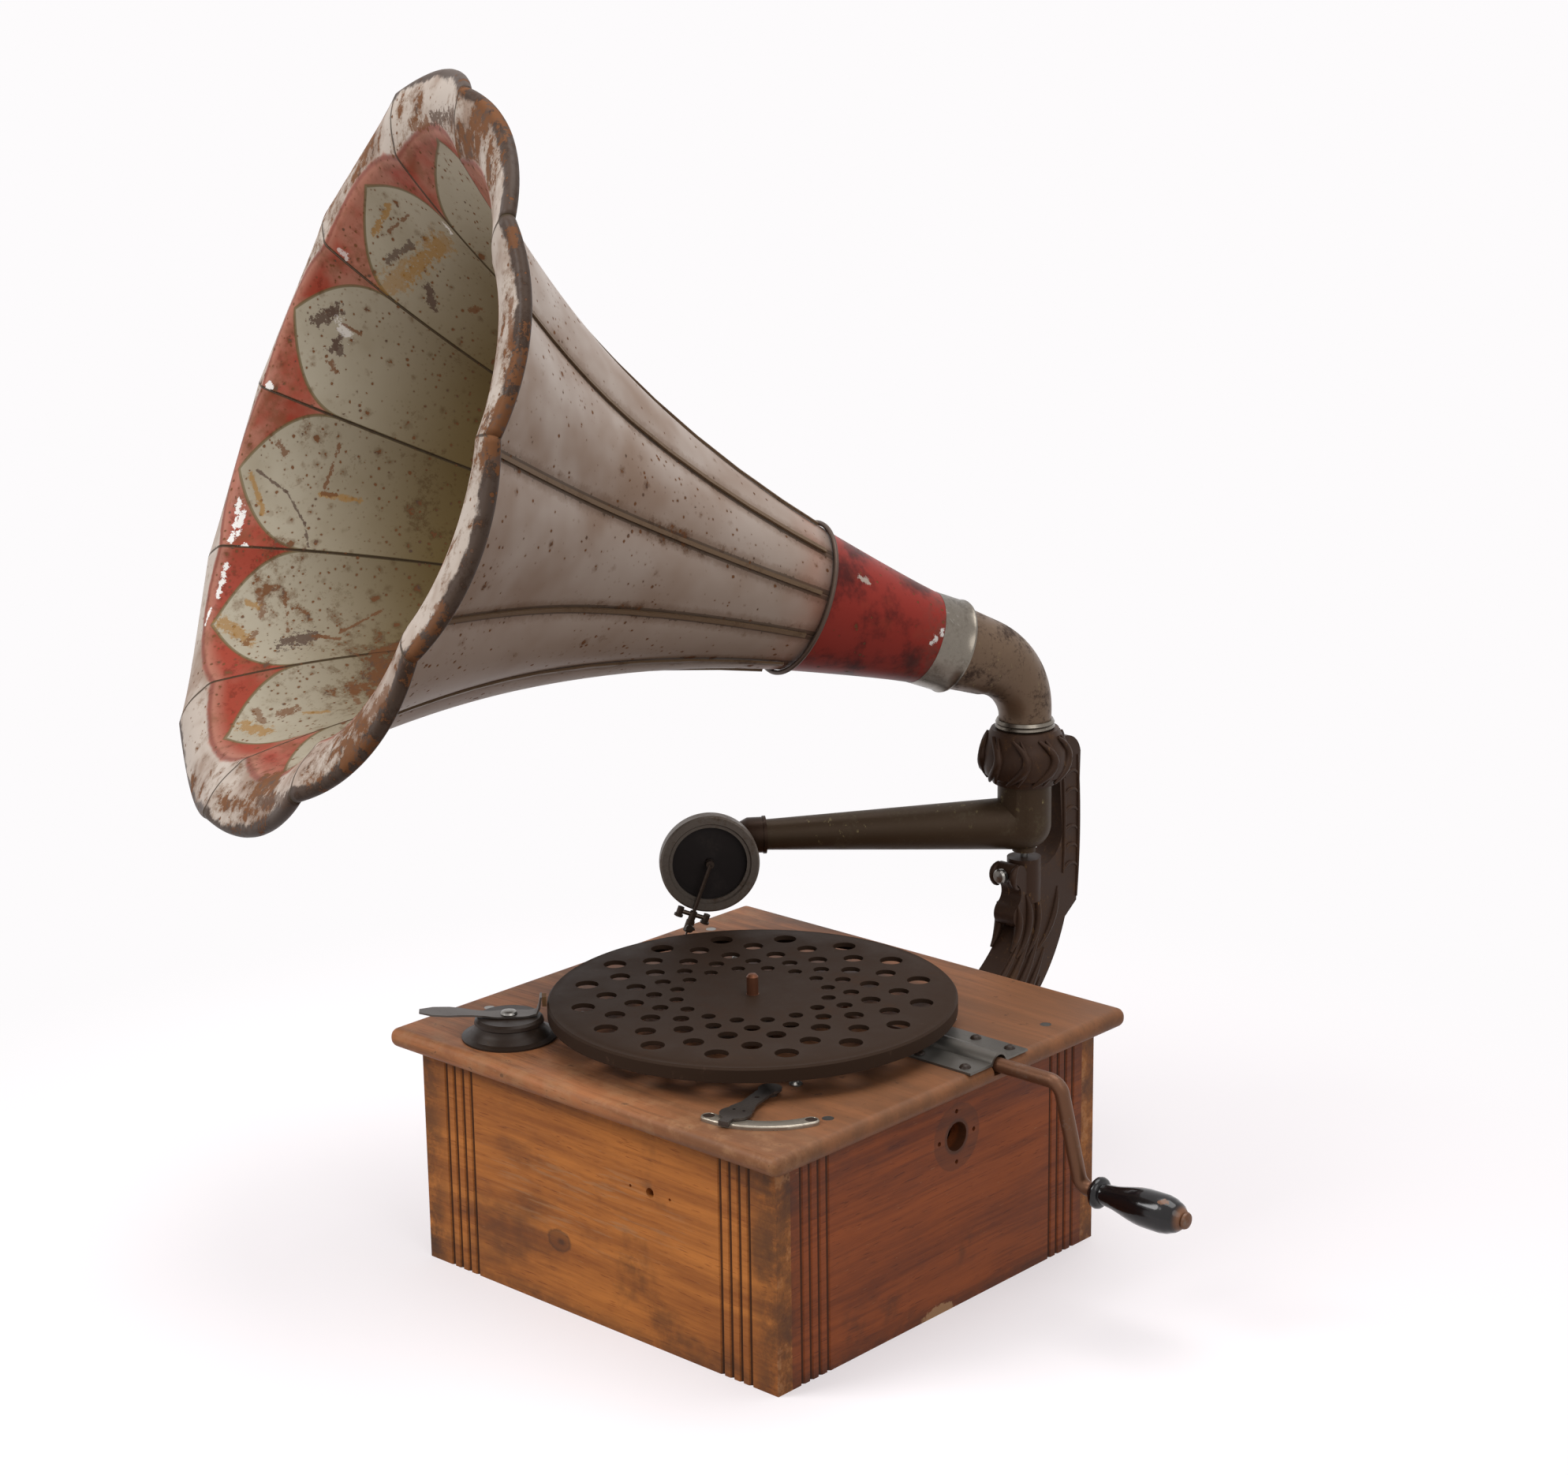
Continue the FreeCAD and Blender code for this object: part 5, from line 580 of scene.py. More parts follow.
def panel_sheet(bm):
    """One panel's outer face in the horn's own frame, trimmed at its two seams."""
    throat, arcs = panel_arcs()
    last = bm.verts.new(throat)
    for centre, turn, steps in arcs:
        last = spin_arc(bm, last, centre, (0, 1, 0), turn, steps)
    along = bm.verts.layers.float.new("along")
    run = 0.0
    before = throat
    for vert in bm.verts:
        run += (vert.co - before).length
        before = vert.co.copy()
        vert[along] = run / FLARE_LENGTH
    lean = Vector((PANEL_OFFSET, 0, MOUTH - THROAT_END)).normalized()
    start = Vector((0, 0, THROAT_END))
    swing = math.radians(32)
    bmesh.ops.rotate(bm, verts=bm.verts[:], cent=start, matrix=Matrix.Rotation(-swing, 3, lean))
    bmesh.ops.spin(bm, geom=bm.edges[:], cent=start, axis=lean, angle=2 * swing, steps=32,
                   use_duplicate=False)
    half = math.pi / PANELS
    for side in (-1, 1):
        bmesh.ops.bisect_plane(bm, geom=bm.verts[:] + bm.edges[:] + bm.faces[:], plane_co=(0, 0, 0),
                               plane_no=(-math.sin(half), side * math.cos(half), 0), clear_outer=True)
    for vert in bm.verts:
        past = vert[along] - 1
        if past > 0:
            share = 1 - (math.atan2(vert.co.y, vert.co.x) / half) ** 2
            rise = CREST_RISE * min(past / CREST_END, 1)
            over = min(max(past - CREST_END, 0) / (BAND_END - 1 - CREST_END), 1)
            vert.co.z += share * (rise - LIP_DROP * over) + LIP_SWELL * math.sin(math.pi * over)
    return along


def warp_mouth(verts, along=None):
    """Bends the mouth as the old sheet has warped: crest lower on one side, lip like a saddle."""
    for vert in verts:
        share = min(max((vert.co.z - WARP_FROM) / (CREST[1] - WARP_FROM), 0), 1)
        if share > 0:
            side = math.sin(math.atan2(vert.co.y, vert.co.x))
            crest = -(CREST_LEAN * side + CREST_DROP * side * side) * share * share * (3 - 2 * share)
            over = min(max((vert[along] - 1) / (BAND_END - 1), 0), 1) if along else 0
            vert.co.z += crest * (1 - over) + EDGE_WARP * (1 - 2 * side * side) * over


class GRAM_OT_horn(bpy.types.Operator):
    """Builds the horn's painted panels with their rolled lip"""
    bl_idname = "gramophone.horn"
    bl_label = "Horn panels"

    def execute(self, context):
        look = context.scene.horn_look
        bm = bmesh.new()
        along = panel_sheet(bm)
        panel_map = bm.loops.layers.uv.new("Panel")
        seam_map = bm.loops.layers.uv.new("Seam")
        half = math.pi / PANELS
        bmesh.ops.recalc_face_normals(bm, faces=bm.faces[:])
        middle = max(bm.faces, key=lambda face: -abs(face.calc_center_median().z - 0.25))
        out = middle.calc_center_median()
        if middle.normal.dot(Vector((out.x, out.y, 0))) < 0:
            bmesh.ops.reverse_faces(bm, faces=bm.faces[:])
        for face in bm.faces:
            reach = sum(vert[along] for vert in face.verts) / len(face.verts)
            face.material_index = PAINTED if reach < EDGE_PAINT_END else 0
            for loop in face.loops:
                spot_at = loop.vert.co
                away = math.hypot(spot_at.x, spot_at.y)
                angle = abs(math.atan2(spot_at.y, spot_at.x))
                loop[panel_map].uv = (angle / half, loop.vert[along])
                loop[seam_map].uv = (away * (half - angle), away * angle)
        petals = [bm.verts[:] + bm.edges[:] + bm.faces[:]]
        turned = Matrix.Rotation(FIRST_SEAM + half, 3, "Z")
        bmesh.ops.rotate(bm, verts=bm.verts[:], cent=(0, 0, 0), matrix=turned)
        for index in range(1, PANELS):
            copy = bmesh.ops.duplicate(bm, geom=petals[0])["geom"]
            verts = [item for item in copy if isinstance(item, bmesh.types.BMVert)]
            turned = Matrix.Rotation(2 * half * index, 3, "Z")
            bmesh.ops.rotate(bm, verts=verts, cent=(0, 0, 0), matrix=turned)
            petals.append(copy)
        warp_mouth(bm.verts, along)
        bmesh.ops.transform(bm, matrix=HORN, verts=bm.verts[:])
        sheet = BVHTree.FromBMesh(bm)
        edge = aged_metal("Horn edge", look.edge, look.rust, 0.35, 0.3, 0.2, 0.5, 0.8)
        outside = horn_outside(look)
        materials = [edge, edge, outside, horn_paint("Horn inside", face_paint(look))]
        for panel, marks in petal_marks(sheet).items():
            for item in petals[panel]:
                if isinstance(item, bmesh.types.BMFace) and item.material_index == PAINTED:
                    item.material_index = len(materials)
            materials += [outside, horn_paint("Horn inside %d" % panel, face_paint(look), marks=marks)]
        piece = finish_mesh(bm, "horn_petals", materials, "horn")
        wall = piece.modifiers.new("Wall", "SOLIDIFY")
        wall.thickness = SHEET
        wall.offset = -1
        wall.use_even_offset = True
        wall.material_offset = 1
        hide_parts("horn_panels")
        return {"FINISHED"}


def horn_paint(name, paint_of, roughness=0.42, relief=0.25, marks=()):
    """Worn enamel: paint_of(tree, place) gives colour, specks and patches; rust and marks come through."""
    look = bpy.context.scene.horn_look
    material, tree, shader, place = start_material(name, 0.0, roughness, Specular_IOR_Level=0.08,
                                                   Coat_Weight=0.03, Coat_Roughness=0.35)
    base, specks, patches = paint_of(tree, place)
    out = use_group(tree, rust_group(), {"Vector": place, "Base": base, "Rust": look.rust,
                                         "Bare": look.bare_dark, "Stain": look.ochre, "Specks": specks,
                                         "Patches": patches})
    paint = out["Color"]
    worn = out["Mask"]
    ragged = tree.noise(place, 260.0, 5.0, 0.75) if marks else None
    for start, end, radius, fade, mark_colour, strength in marks:
        mark = use_group(tree, streak_group(), {"Vector": place, "Start": start, "End": end, "Radius": radius,
                                                "Fade": fade, "Ragged": ragged})["Mask"]
        mark = tree.times(mark, strength)
        paint = tree.mix(mark, paint, mark_colour)
        worn = tree.most(worn, mark)
    tree.feed(shader.inputs["Base Color"], paint)
    tree.feed(shader.inputs["Roughness"], tree.blend(worn, roughness, 0.78))
    bump(tree, shader, tree.less(1.0, worn), relief, 0.0005)
    return material


def panel_places(tree):
    """The metric distances to the seam and to the panel's middle, and the share of the flare's length."""
    seam, middle, _ = tree.separate(tree.add("UVMap", uv_map="Seam").outputs[0])
    along = tree.separate(tree.add("UVMap", uv_map="Panel").outputs[0])[1]
    return seam, middle, along


def horn_outside(look):
    def paint(tree, place):
        seam, _, along = panel_places(tree)
        cloud = tree.noise(place, 7.0, 4.0, 0.6)
        base = tree.mix(tree.step(cloud, 0.38, 0.66), look.outside, look.outside_warm)
        # Painted shade: the outside turns darker and browner towards the bottom
        low = tree.step(tree.separate(place)[2], 0.62, 0.33)
        base = tree.cover(base, look.outside_warm, low, 0.65)
        near = tree.times(tree.step(along, 0.13, 0.0), tree.step(cloud, 0.35, 0.6))
        base = tree.cover(base, look.ground_faded, near, 0.75)
        speckled = tree.noise(place, 260.0, 4.0, 0.7)
        reach = tree.times(tree.step(speckled, 0.55, 0.72), 0.0022)
        # Painted shade: a dark band beside each seam bead, in the seam colour
        bead_shade = tree.step(tree.less(seam, reach), 0.0034, 0.0030)
        base = tree.cover(base, look.seam, bead_shade, 0.6)
        tan = tree.step(tree.less(seam, tree.times(speckled, 0.008)), 0.005, 0.0)
        base = tree.cover(base, look.ochre, tan, 0.35, "MULTIPLY")
        rust_near_seam = tree.blend(tree.step(seam, 0.014, 0.003), 0.42, 0.85)
        return base, 0.62, rust_near_seam
    return horn_paint("Horn outside", paint)


def face_paint(look):
    """The paint of the horn's face: petals on a red ground, painted shade as a dark red line along the crest,
    and the mottled lip.
    """
    def paint(tree, place):
        seam, middle, along = panel_places(tree)
        share = tree.ratio(middle, tree.plus(seam, middle))
        crest = tree.times(tree.times(share, share), 0.02)
        past = tree.less(tree.plus(along, crest), 1.022)
        cloud = tree.noise(place, 14.0, 4.0, 0.6)
        fine = tree.noise(place, 55.0, 5.0, 0.7)
        petals = use_group(tree, petal_group(), {"Seam": seam, "Middle": middle, "Along": along,
                                                 "Tip": PETAL_TIP, "Point": PETAL_POINT,
                                                 "Reach": PETAL_POINT * FLARE_LENGTH, "Arch": 2.1,
                                                 "Line": 0.0013})
        # Petals darken towards the throat: a deeper olive paint, and painted shade deep in the horn
        petal = tree.mix(tree.step(along, 0.97, 0.58), look.petal, look.petal_deep)
        petal = tree.cover(petal, look.petal_deep, tree.step(cloud, 0.45, 0.75), 0.3)
        high = tree.step(tree.separate(place)[2], 0.40, 0.56)
        faded = tree.step(tree.plus(cloud, tree.times(high, 0.14)), 0.52, 0.70)
        faded = tree.most(faded, tree.step(past, -0.03, 0.0))
        ground = tree.cover(look.ground, look.ground_faded, faded, 0.8)
        ground = tree.cover(ground, look.rust, tree.step(fine, 0.46, 0.64), 0.5)
        base = tree.mix(petals["Petal"], ground, petal)
        base = tree.cover(base, look.outline, petals["Outline"], 0.8)
        lip = tree.mix(tree.step(cloud, 0.45, 0.65), look.lip, look.outside_warm)
        ragged = tree.plus(past, tree.swing(fine, 0.03))
        on_lip = tree.step(ragged, 0.004, 0.014)
        base = tree.mix(on_lip, base, lip)
        # Painted shade: a dark red line along the crest's groove
        line = tree.step(tree.size(tree.less(past, 0.004)), 0.008, 0.001)
        base = tree.cover(base, look.ground_deep, line, 0.6)
        outer = tree.plus(along, tree.swing(fine, 0.05))
        base = tree.cover(base, look.edge, tree.step(outer, 1.104, 1.113), 0.95)
        wavy = tree.times(cloud, 0.0008)
        dark = tree.step(tree.plus(seam, wavy), 0.0015, 0.0009)
        base = tree.cover(base, look.seam, dark, 0.9)
        low = tree.step(tree.separate(place)[2], 0.54, 0.38)
        petal_rust = tree.plus(0.66, tree.times(low, 0.42))
        return base, tree.blend(on_lip, 2.0, 0.7), tree.blend(on_lip, petal_rust, 1.1)
    return paint


# Scratches, stains and chips of the horn, read in the photograph: start and end in its pixels,
# radius in millimetres, fade as a share of the radius, colour and strength.
FACE_MARKS = {
    "oval": ((491, 364), (562, 307), 5.1, 0.9, "ochre", 0.55),
    "oval2": ((519, 350), (558, 310), 3.4, 0.6, "ochre", 0.5),
    "oval dark": ((493, 330), (521, 310), 1.9, 0.5, "bare_dark", 0.8),
    "panel 2 spot": ((542, 364), (550, 389), 2.2, 0.3, "bare_dark", 0.92),
    "panel 2 spot b": ((597, 392), (608, 392), 1.5, 0.6, "rust", 0.8),
    "panel 2 edge": ((473, 296), (493, 261), 1.5, 0.6, "ochre", 0.8),
    "panel 2 edge b": ((493, 293), (518, 273), 0.8, 0.5, "rust", 0.8),
    "panel 2 silver": ((564, 284), (572, 295), 1.4, 0.2, "bare_bright", 0.9),
    "seam silver": ((432, 318), (440, 326), 1.5, 0.25, "bare_bright", 0.55),
    "panel 3 dark": ((403, 408), (418, 396), 3.4, 0.3, "bare_dark", 0.9),
    "panel 3 dark2": ((420, 396), (429, 392), 2.9, 0.3, "bare_dark", 0.9),
    "panel 3 dark3": ((420, 445), (431, 429), 2.0, 0.3, "bare_dark", 0.9),
    "panel 3 silver": ((431, 408), (444, 426), 2.5, 0.3, "bare_bright", 0.6),
    "panel 3 dark b": ((426, 434), (431, 446), 2.2, 0.3, "bare_dark", 0.85),
    "panel 3 rust": ((434, 410), (457, 424), 1.0, 0.5, "rust", 0.85),
    "panel 3 rust2": ((418, 459), (426, 472), 1.4, 0.5, "rust", 0.85),
    "panel 4 streak": ((431, 562), (412, 618), 0.8, 0.5, "rust", 0.85),
    "panel 4 clump": ((406, 626), (456, 635), 1.1, 1.2, "ochre", 0.75),
    "panel 4 clump2": ((409, 625), (426, 628), 1.1, 0.6, "rust", 0.85),
    "panel 4 c1": ((326, 596), (363, 623), 0.6, 0.6, "bare_dark", 0.85),
    "panel 4 c2": ((363, 623), (386, 663), 0.6, 0.6, "bare_dark", 0.85),
    "panel 4 c3": ((386, 663), (391, 693), 0.6, 0.6, "bare_dark", 0.85),
    "panel 4 top": ((354, 562), (363, 575), 1.5, 0.5, "rust", 0.8),
    "panel 4 tip": ((318, 600), (333, 650), 1.0, 1.4, "ochre", 0.8),
    "panel 5 v": ((361, 760), (365, 800), 0.9, 0.5, "rust", 0.85),
    "panel 5 dark": ((359, 816), (397, 806), 3.6, 0.4, "bare_dark", 0.9),
    "panel 5 line": ((397, 806), (431, 810), 1.0, 0.6, "rust", 0.85),
    "panel 5 line2": ((431, 802), (483, 774), 0.7, 0.6, "rust", 0.85),
    "panel 5 up": ((330, 752), (332, 780), 1.5, 0.9, "rust", 0.75),
    "panel 5 up b": ((311, 764), (327, 770), 1.3, 0.9, "ochre", 0.75),
    "panel 5 tip": ((281, 788), (315, 812), 2.7, 1, "ochre", 0.75),
    "panel 5 tip b": ((311, 816), (325, 802), 1.5, 0.7, "rust", 0.75),
    "panel 5 spot": ((403, 758), (406, 760), 1.0, 0.4, "rust", 0.85),
    "panel 6 a": ((359, 904), (371, 900), 2.7, 0.7, "rust", 0.8),
    "panel 6 b": ((311, 920), (337, 928), 2.9, 1, "ochre", 0.75),
    "panel 6 c": ((323, 900), (335, 916), 1.4, 0.8, "rust", 0.7),
    "panel 6 d": ((445, 868), (455, 892), 1.4, 0.7, "rust", 0.75),
    "panel 6 e": ((385, 904), (417, 902), 1.1, 1, "ochre", 0.7),
    # Chips a to f: bare bright sheet along the crest's fold, with a painted highlight on it
    "chip a": ((307, 648), (301, 676), 1.7, 0.2, "bare_bright", 1),
    "chip b": ((311, 692), (289, 700), 1.4, 0.2, "bare_bright", 1),
    "chip c": ((287, 716), (276, 756), 1.2, 0.2, "bare_bright", 1),
    "chip d": ((267, 772), (260, 792), 0.8, 0.2, "bare_bright", 1),
    "chip e": ((342, 488), (337, 507), 1.7, 0.2, "bare_bright", 1),
    "chip f": ((304, 634), (294, 685), 1.4, 0.2, "bare_bright", 1),
    "lip top bare": ((549, 149), (576, 149), 3.9, 0.3, "bare_dark", 0.85),
    "lip top rust": ((523, 158), (541, 156), 2.5, 0.6, "rust", 0.8),
    "lip bottom": ((329, 1016), (361, 1014), 2.9, 0.5, "bare_dark", 0.7),
    "lip side": ((650, 293), (650, 307), 2.9, 0.4, "rust", 0.85),
    "lip side 2": ((529, 816), (513, 848), 3.4, 0.5, "rust", 0.85),
    "lip side 3": ((489, 880), (465, 912), 3.4, 0.8, "rust", 0.75),
    "lip side 4": ((557, 772), (545, 796), 2.5, 0.8, "rust", 0.75),
    "lip side 5": ((647, 381), (647, 435), 1.7, 0.9, "rust", 0.75)}


THROAT_MARKS = {
    "throat chip a": ((1180, 815), (1187, 809.5), 1.4, 0.3, "bare_bright", 0.9),
    "throat chip b": ((1194, 804), (1195, 799), 1.3, 0.3, "bare_bright", 0.9),
    "throat scrape": ((1090, 732), (1100, 738), 1.4, 0.5, "lip", 0.8)}


def seen_place(surface, pixel, wall):
    """The place that the photograph shows at a pixel, on a face that stands a wall before the surface."""
    look = bpy.context.scene.stage_look
    camera = camera_matrix(look)
    focal = look.lens / FILM_WIDTH * PHOTO_SIZE[0]
    ray = Vector((pixel[0] - PHOTO_SIZE[0] / 2, PHOTO_SIZE[1] / 2 - pixel[1], -focal)).normalized()
    ray = camera.to_3x3() @ ray
    hit, normal, _, _ = surface.ray_cast(camera.translation, ray)
    return hit - ray * (wall / abs(ray.dot(normal)))


def seen_marks(surface, rows, wall=0):
    """Marks of a painted surface, laid where the photograph's camera sees them."""
    marks = []
    for *pixels, radius, fade, paint, strength in rows.values():
        start, end = [seen_place(surface, pixel, wall) for pixel in pixels]
        shade = getattr(bpy.context.scene.horn_look, paint)
        marks.append((start, end, radius / 1000, fade, shade, strength))
    return marks


def petal_marks(sheet):
    """The marks of the horn's face, by panel."""
    by_panel = {}
    for mark in seen_marks(sheet, FACE_MARKS, SHEET):
        at_horn = HORN.inverted() @ mark[0]
        turn = (math.atan2(at_horn.y, at_horn.x) - FIRST_SEAM) % (2 * math.pi)
        by_panel.setdefault(int(turn / (2 * math.pi / PANELS)), []).append(mark)
    return by_panel


def throat_enamel(look):
    def paint(tree, place):
        cloud = tree.noise(place, 26.0, 5.0, 0.65)
        fine = tree.noise(place, 130.0, 5.0, 0.7)
        base = tree.mix(tree.step(cloud, 0.42, 0.62), look.throat, look.throat_dark)
        bright = tree.step(tree.noise(place, 60.0, 4.0, 0.6), 0.55, 0.68)
        base = tree.cover(base, look.ground, bright, 0.25)
        end = spot(tree, place, THROAT_START, 0.022, 0.032)
        worn = tree.times(end, tree.step(fine, 0.40, 0.60))
        base = tree.cover(base, look.bare_dark, worn, 0.7)
        return base, 0.7, tree.blend(end, 0.45, 0.8)
    mesh = frame["nodes"]["horn_throat"].data
    faces = [face.vertices[:] for face in mesh.polygons]
    surface = BVHTree.FromPolygons([vert.co for vert in mesh.vertices], faces)
    marks = seen_marks(surface, THROAT_MARKS)
    return horn_paint("Throat enamel", paint, 0.38, 0.35, marks)


# Lamps as (name, place, size in metres, power in watts)
LAMPS = (
    ("Key", (-1.2, -1.9, 2.3), 1.6, 56),
    ("Fill", (2.3, -0.6, 1.7), 1.8, 17),
    ("Top", (0.1, 0.5, 2.7), 2.0, 38))
LAMP_AIM = Vector((-0.05, 0, 0.25))


def camera_matrix(look):
    """Where the photograph was taken from, and how the camera was turned."""
    azimuth, elevation = look.camera_azimuth, look.camera_elevation
    back = Vector((math.sin(azimuth) * math.cos(elevation), -math.cos(azimuth) * math.cos(elevation),
                   math.sin(elevation)))
    right = (-back).cross(Vector((0, 0, 1))).normalized()
    up = right.cross(-back)
    turn = Matrix((right, up, back)).transposed() @ Matrix.Rotation(look.camera_roll, 3, "Z")
    return Matrix.Translation(look.camera_place) @ turn.to_4x4()


def seen_rays(tree):
    """1 for the rays that see a surface as the camera does, 0 for those that only carry light."""
    path = tree.add("LightPath").outputs
    return tree.most(tree.most(path["Is Camera Ray"], path["Is Glossy Ray"]), path["Is Transmission Ray"])


class GRAM_OT_stage(bpy.types.Operator):
    """Sets the camera, the pale floor and the soft lamps"""
    bl_idname = "gramophone.stage"
    bl_label = "Camera, floor and lamps"

    def execute(self, context):
        look = context.scene.stage_look
        camera = bpy.data.cameras.new("Camera")
        camera.lens = look.lens
        camera.sensor_width = FILM_WIDTH
        camera.clip_start = 0.05
        camera.clip_end = 50
        context.scene.camera = place_object("Camera", camera, camera_matrix(look))
        self.floor(look)
        self.lamps(context, look)
        context.scene.view_settings.view_transform = "Standard"
        return {"FINISHED"}

    def floor(self, look):
        bm = bmesh.new()
        bmesh.ops.create_circle(bm, cap_ends=True, segments=64, radius=9)
        mesh = bpy.data.meshes.new("floor")
        bm.to_mesh(mesh)
        bm.free()
        material = bpy.data.materials.new("Pale floor")
        material.use_nodes = True
        material.node_tree.nodes.clear()
        tree = Tree(material.node_tree)
        lit = [part * look.shadow_depth for part in look.floor[:3]] + [1]
        diffuse = tree.add("BsdfDiffuse", {"Color": lit})
        glow = tree.add("Emission", {"Color": list(look.floor), "Strength": 1 - look.shadow_depth})
        both = tree.add("AddShader", {0: diffuse.outputs[0], 1: glow.outputs[0]})
        far = tree.add("Emission", {"Color": list(look.backdrop), "Strength": 1.0})
        away = tree.add("VectorMath", {0: tree.add("TexCoord").outputs["Object"]},
                        operation="LENGTH").outputs[1]
        faded = tree.add("MixShader", {0: tree.step(away, 0.30, 0.75), 1: both.outputs[0], 2: far.outputs[0]})
        plain = tree.add("BsdfDiffuse", {"Color": list(look.bounce)})
        mixed = tree.add("MixShader", {0: seen_rays(tree), 1: plain.outputs[0], 2: faded.outputs[0]})
        tree.add("OutputMaterial", {"Surface": mixed.outputs[0]})
        mesh.materials.append(material)
        place_object("floor", mesh)

    def lamps(self, context, look):
        world = bpy.data.worlds.new("Studio")
        context.scene.world = world
        world.use_nodes = True
        world.node_tree.nodes.clear()
        tree = Tree(world.node_tree)
        soft = tree.add("Background", {"Color": (1, 1, 1, 1), "Strength": 0.44})
        seen = tree.add("Background", {"Color": list(look.backdrop), "Strength": 1.0})
        mixed = tree.add("MixShader", {0: seen_rays(tree), 1: soft.outputs[0], 2: seen.outputs[0]})
        tree.add("OutputWorld", {"Surface": mixed.outputs[0]})
        for name, place, size, power in LAMPS:
            light = bpy.data.lights.new(name, "AREA")
            light.shape = "DISK"
            light.size = size
            light.energy = power
            aim = (LAMP_AIM - Vector(place)).to_track_quat("-Z", "Y")
            place_object(name, light, Matrix.Translation(place) @ aim.to_matrix().to_4x4())


# The bracket's cast leaves


def arc_through(first, middle, last, count):
    """Evenly spaced points on the arc through three points, given as (along Y, along Z)."""
    (ay, az), (by, bz), (cy, cz) = first, middle, last
    d = 2 * (ay * (bz - cz) + by * (cz - az) + cy * (az - bz))
    a, b, c = ay * ay + az * az, by * by + bz * bz, cy * cy + cz * cz
    y = (a * (bz - cz) + b * (cz - az) + c * (az - bz)) / d
    z = (a * (cy - by) + b * (ay - cy) + c * (by - ay)) / d
    radius = math.hypot(ay - y, az - z)
    start = math.atan2(az - z, ay - y)
    sweep = (math.atan2(cz - z, cy - y) - start + math.pi) % (2 * math.pi) - math.pi
    turns = [start + sweep * step / (count - 1) for step in range(count)]
    return [(y + radius * math.cos(turn), z + radius * math.sin(turn)) for turn in turns]


def cord(bm, points, widths):
    """A tapered round cord through points; widths are its half widths."""
    before = None
    for index, point in enumerate(points):
        run = points[min(index + 1, len(points) - 1)] - points[max(index - 1, 0)]
        place = Matrix.Translation(point) @ run.to_track_quat("Z", "X").to_matrix().to_4x4()
        ends = index in (0, len(points) - 1)
        ring = bmesh.ops.create_circle(bm, cap_ends=ends, segments=10, radius=widths[index],
                                       matrix=place)["verts"]
        edges = list({edge for vert in ring for edge in vert.link_edges})
        if before:
            bmesh.ops.bridge_loops(bm, edges=before + edges)
        before = edges


def rib(bm, side, through, count, widths):
    """A cord on the bracket's side, along the arc through three places; all in millimetres."""
    run = arc_through(*through, count)
    cord(bm, [Vector((side, y, z)) / 1000 for y, z in run], [width / 1000 for width in widths])


def taper(count, widest, peak=0.5, least=0.25):
    """Half widths that swell from a thin start to the widest and thin out again."""
    widths = []
    for step in range(count):
        share = step / (count - 1)
        bent = share / peak * 0.5 if share < peak else 0.5 + (share - peak) / (1 - peak) * 0.5
        widths.append(widest * (least + (1 - least) * math.sin(math.pi * bent)))
    return widths


# Flutes of the lower curve as (start, middle, end, widest): places along Y and Z in millimetres
FLUTES = (
    ((156, 97), (214, 108), (249, 143), 2.4), ((156, 88), (219, 99), (259, 146), 3.4),
    ((160, 76), (226, 90), (268, 142), 3.8), ((160, 62), (228, 78), (274, 128), 3.6),
    ((158, 48), (226, 64), (270, 108), 2.8), ((238, 134), (246, 148), (245, 164), 3.0),
    ((244, 128), (256, 146), (254, 170), 3.2), ((254, 126), (266, 146), (262, 172), 2.8),
    ((266, 128), (280, 142), (288, 168), 2.6), ((246, 176), (240, 186), (246, 192), 2.6))
BAR_EDGES = (((294, 176), (295, 206), (293, 248)), ((309, 156), (310.5, 200), (309, 256)))
BAR_STEPS = 6
SIDE = 8.5
LEAVES = 9


class GRAM_OT_leaves(bpy.types.Operator):
    """Models the cast leaves and scrolls on the bracket"""
    bl_idname = "gramophone.leaves"
    bl_label = "Cast leaves"

    def execute(self, context):
        bm = bmesh.new()
        for side in (-SIDE, SIDE):
            for first, middle, last, widest in FLUTES:
                rib(bm, side, (first, middle, last), 12, taper(12, widest, 0.6))
            for points in BAR_EDGES:
                rib(bm, side, points, 10, taper(10, 1.5, 0.5, 0.6))
            for index in range(BAR_STEPS):
                low = 178 + index * 13
                rib(bm, side, ((295, low), (302, low + 3.5), (309, low)), 7, taper(7, 1.4, 0.5, 0.6))
        for index in range(LEAVES):
            for sweep, start, widest in ((0.55, 0.0, 3.4), (0.25, 0.30, 2.4)):
                points = []
                for step in range(12):
                    share = step / 11
                    turn = 2 * math.pi * index / LEAVES + start + sweep * math.sin(math.pi * share * 0.9)
                    reach = 0.0225 + 0.0062 * math.sin(math.pi * (0.12 + 0.76 * share))
                    points.append(PIVOT + Vector((reach * math.cos(turn), reach * math.sin(turn),
                                                  0.2485 + 0.031 * share)))
                cord(bm, points, [width / 1000 for width in taper(12, widest, 0.45, 0.3)])
        bmesh.ops.recalc_face_normals(bm, faces=bm.faces[:])
        iron = bpy.data.materials["Bracket iron"]
        finish_mesh(bm, "bracket_leaves", [iron], "cabinet")
        return {"FINISHED"}


# Finishes of the carried-over parts


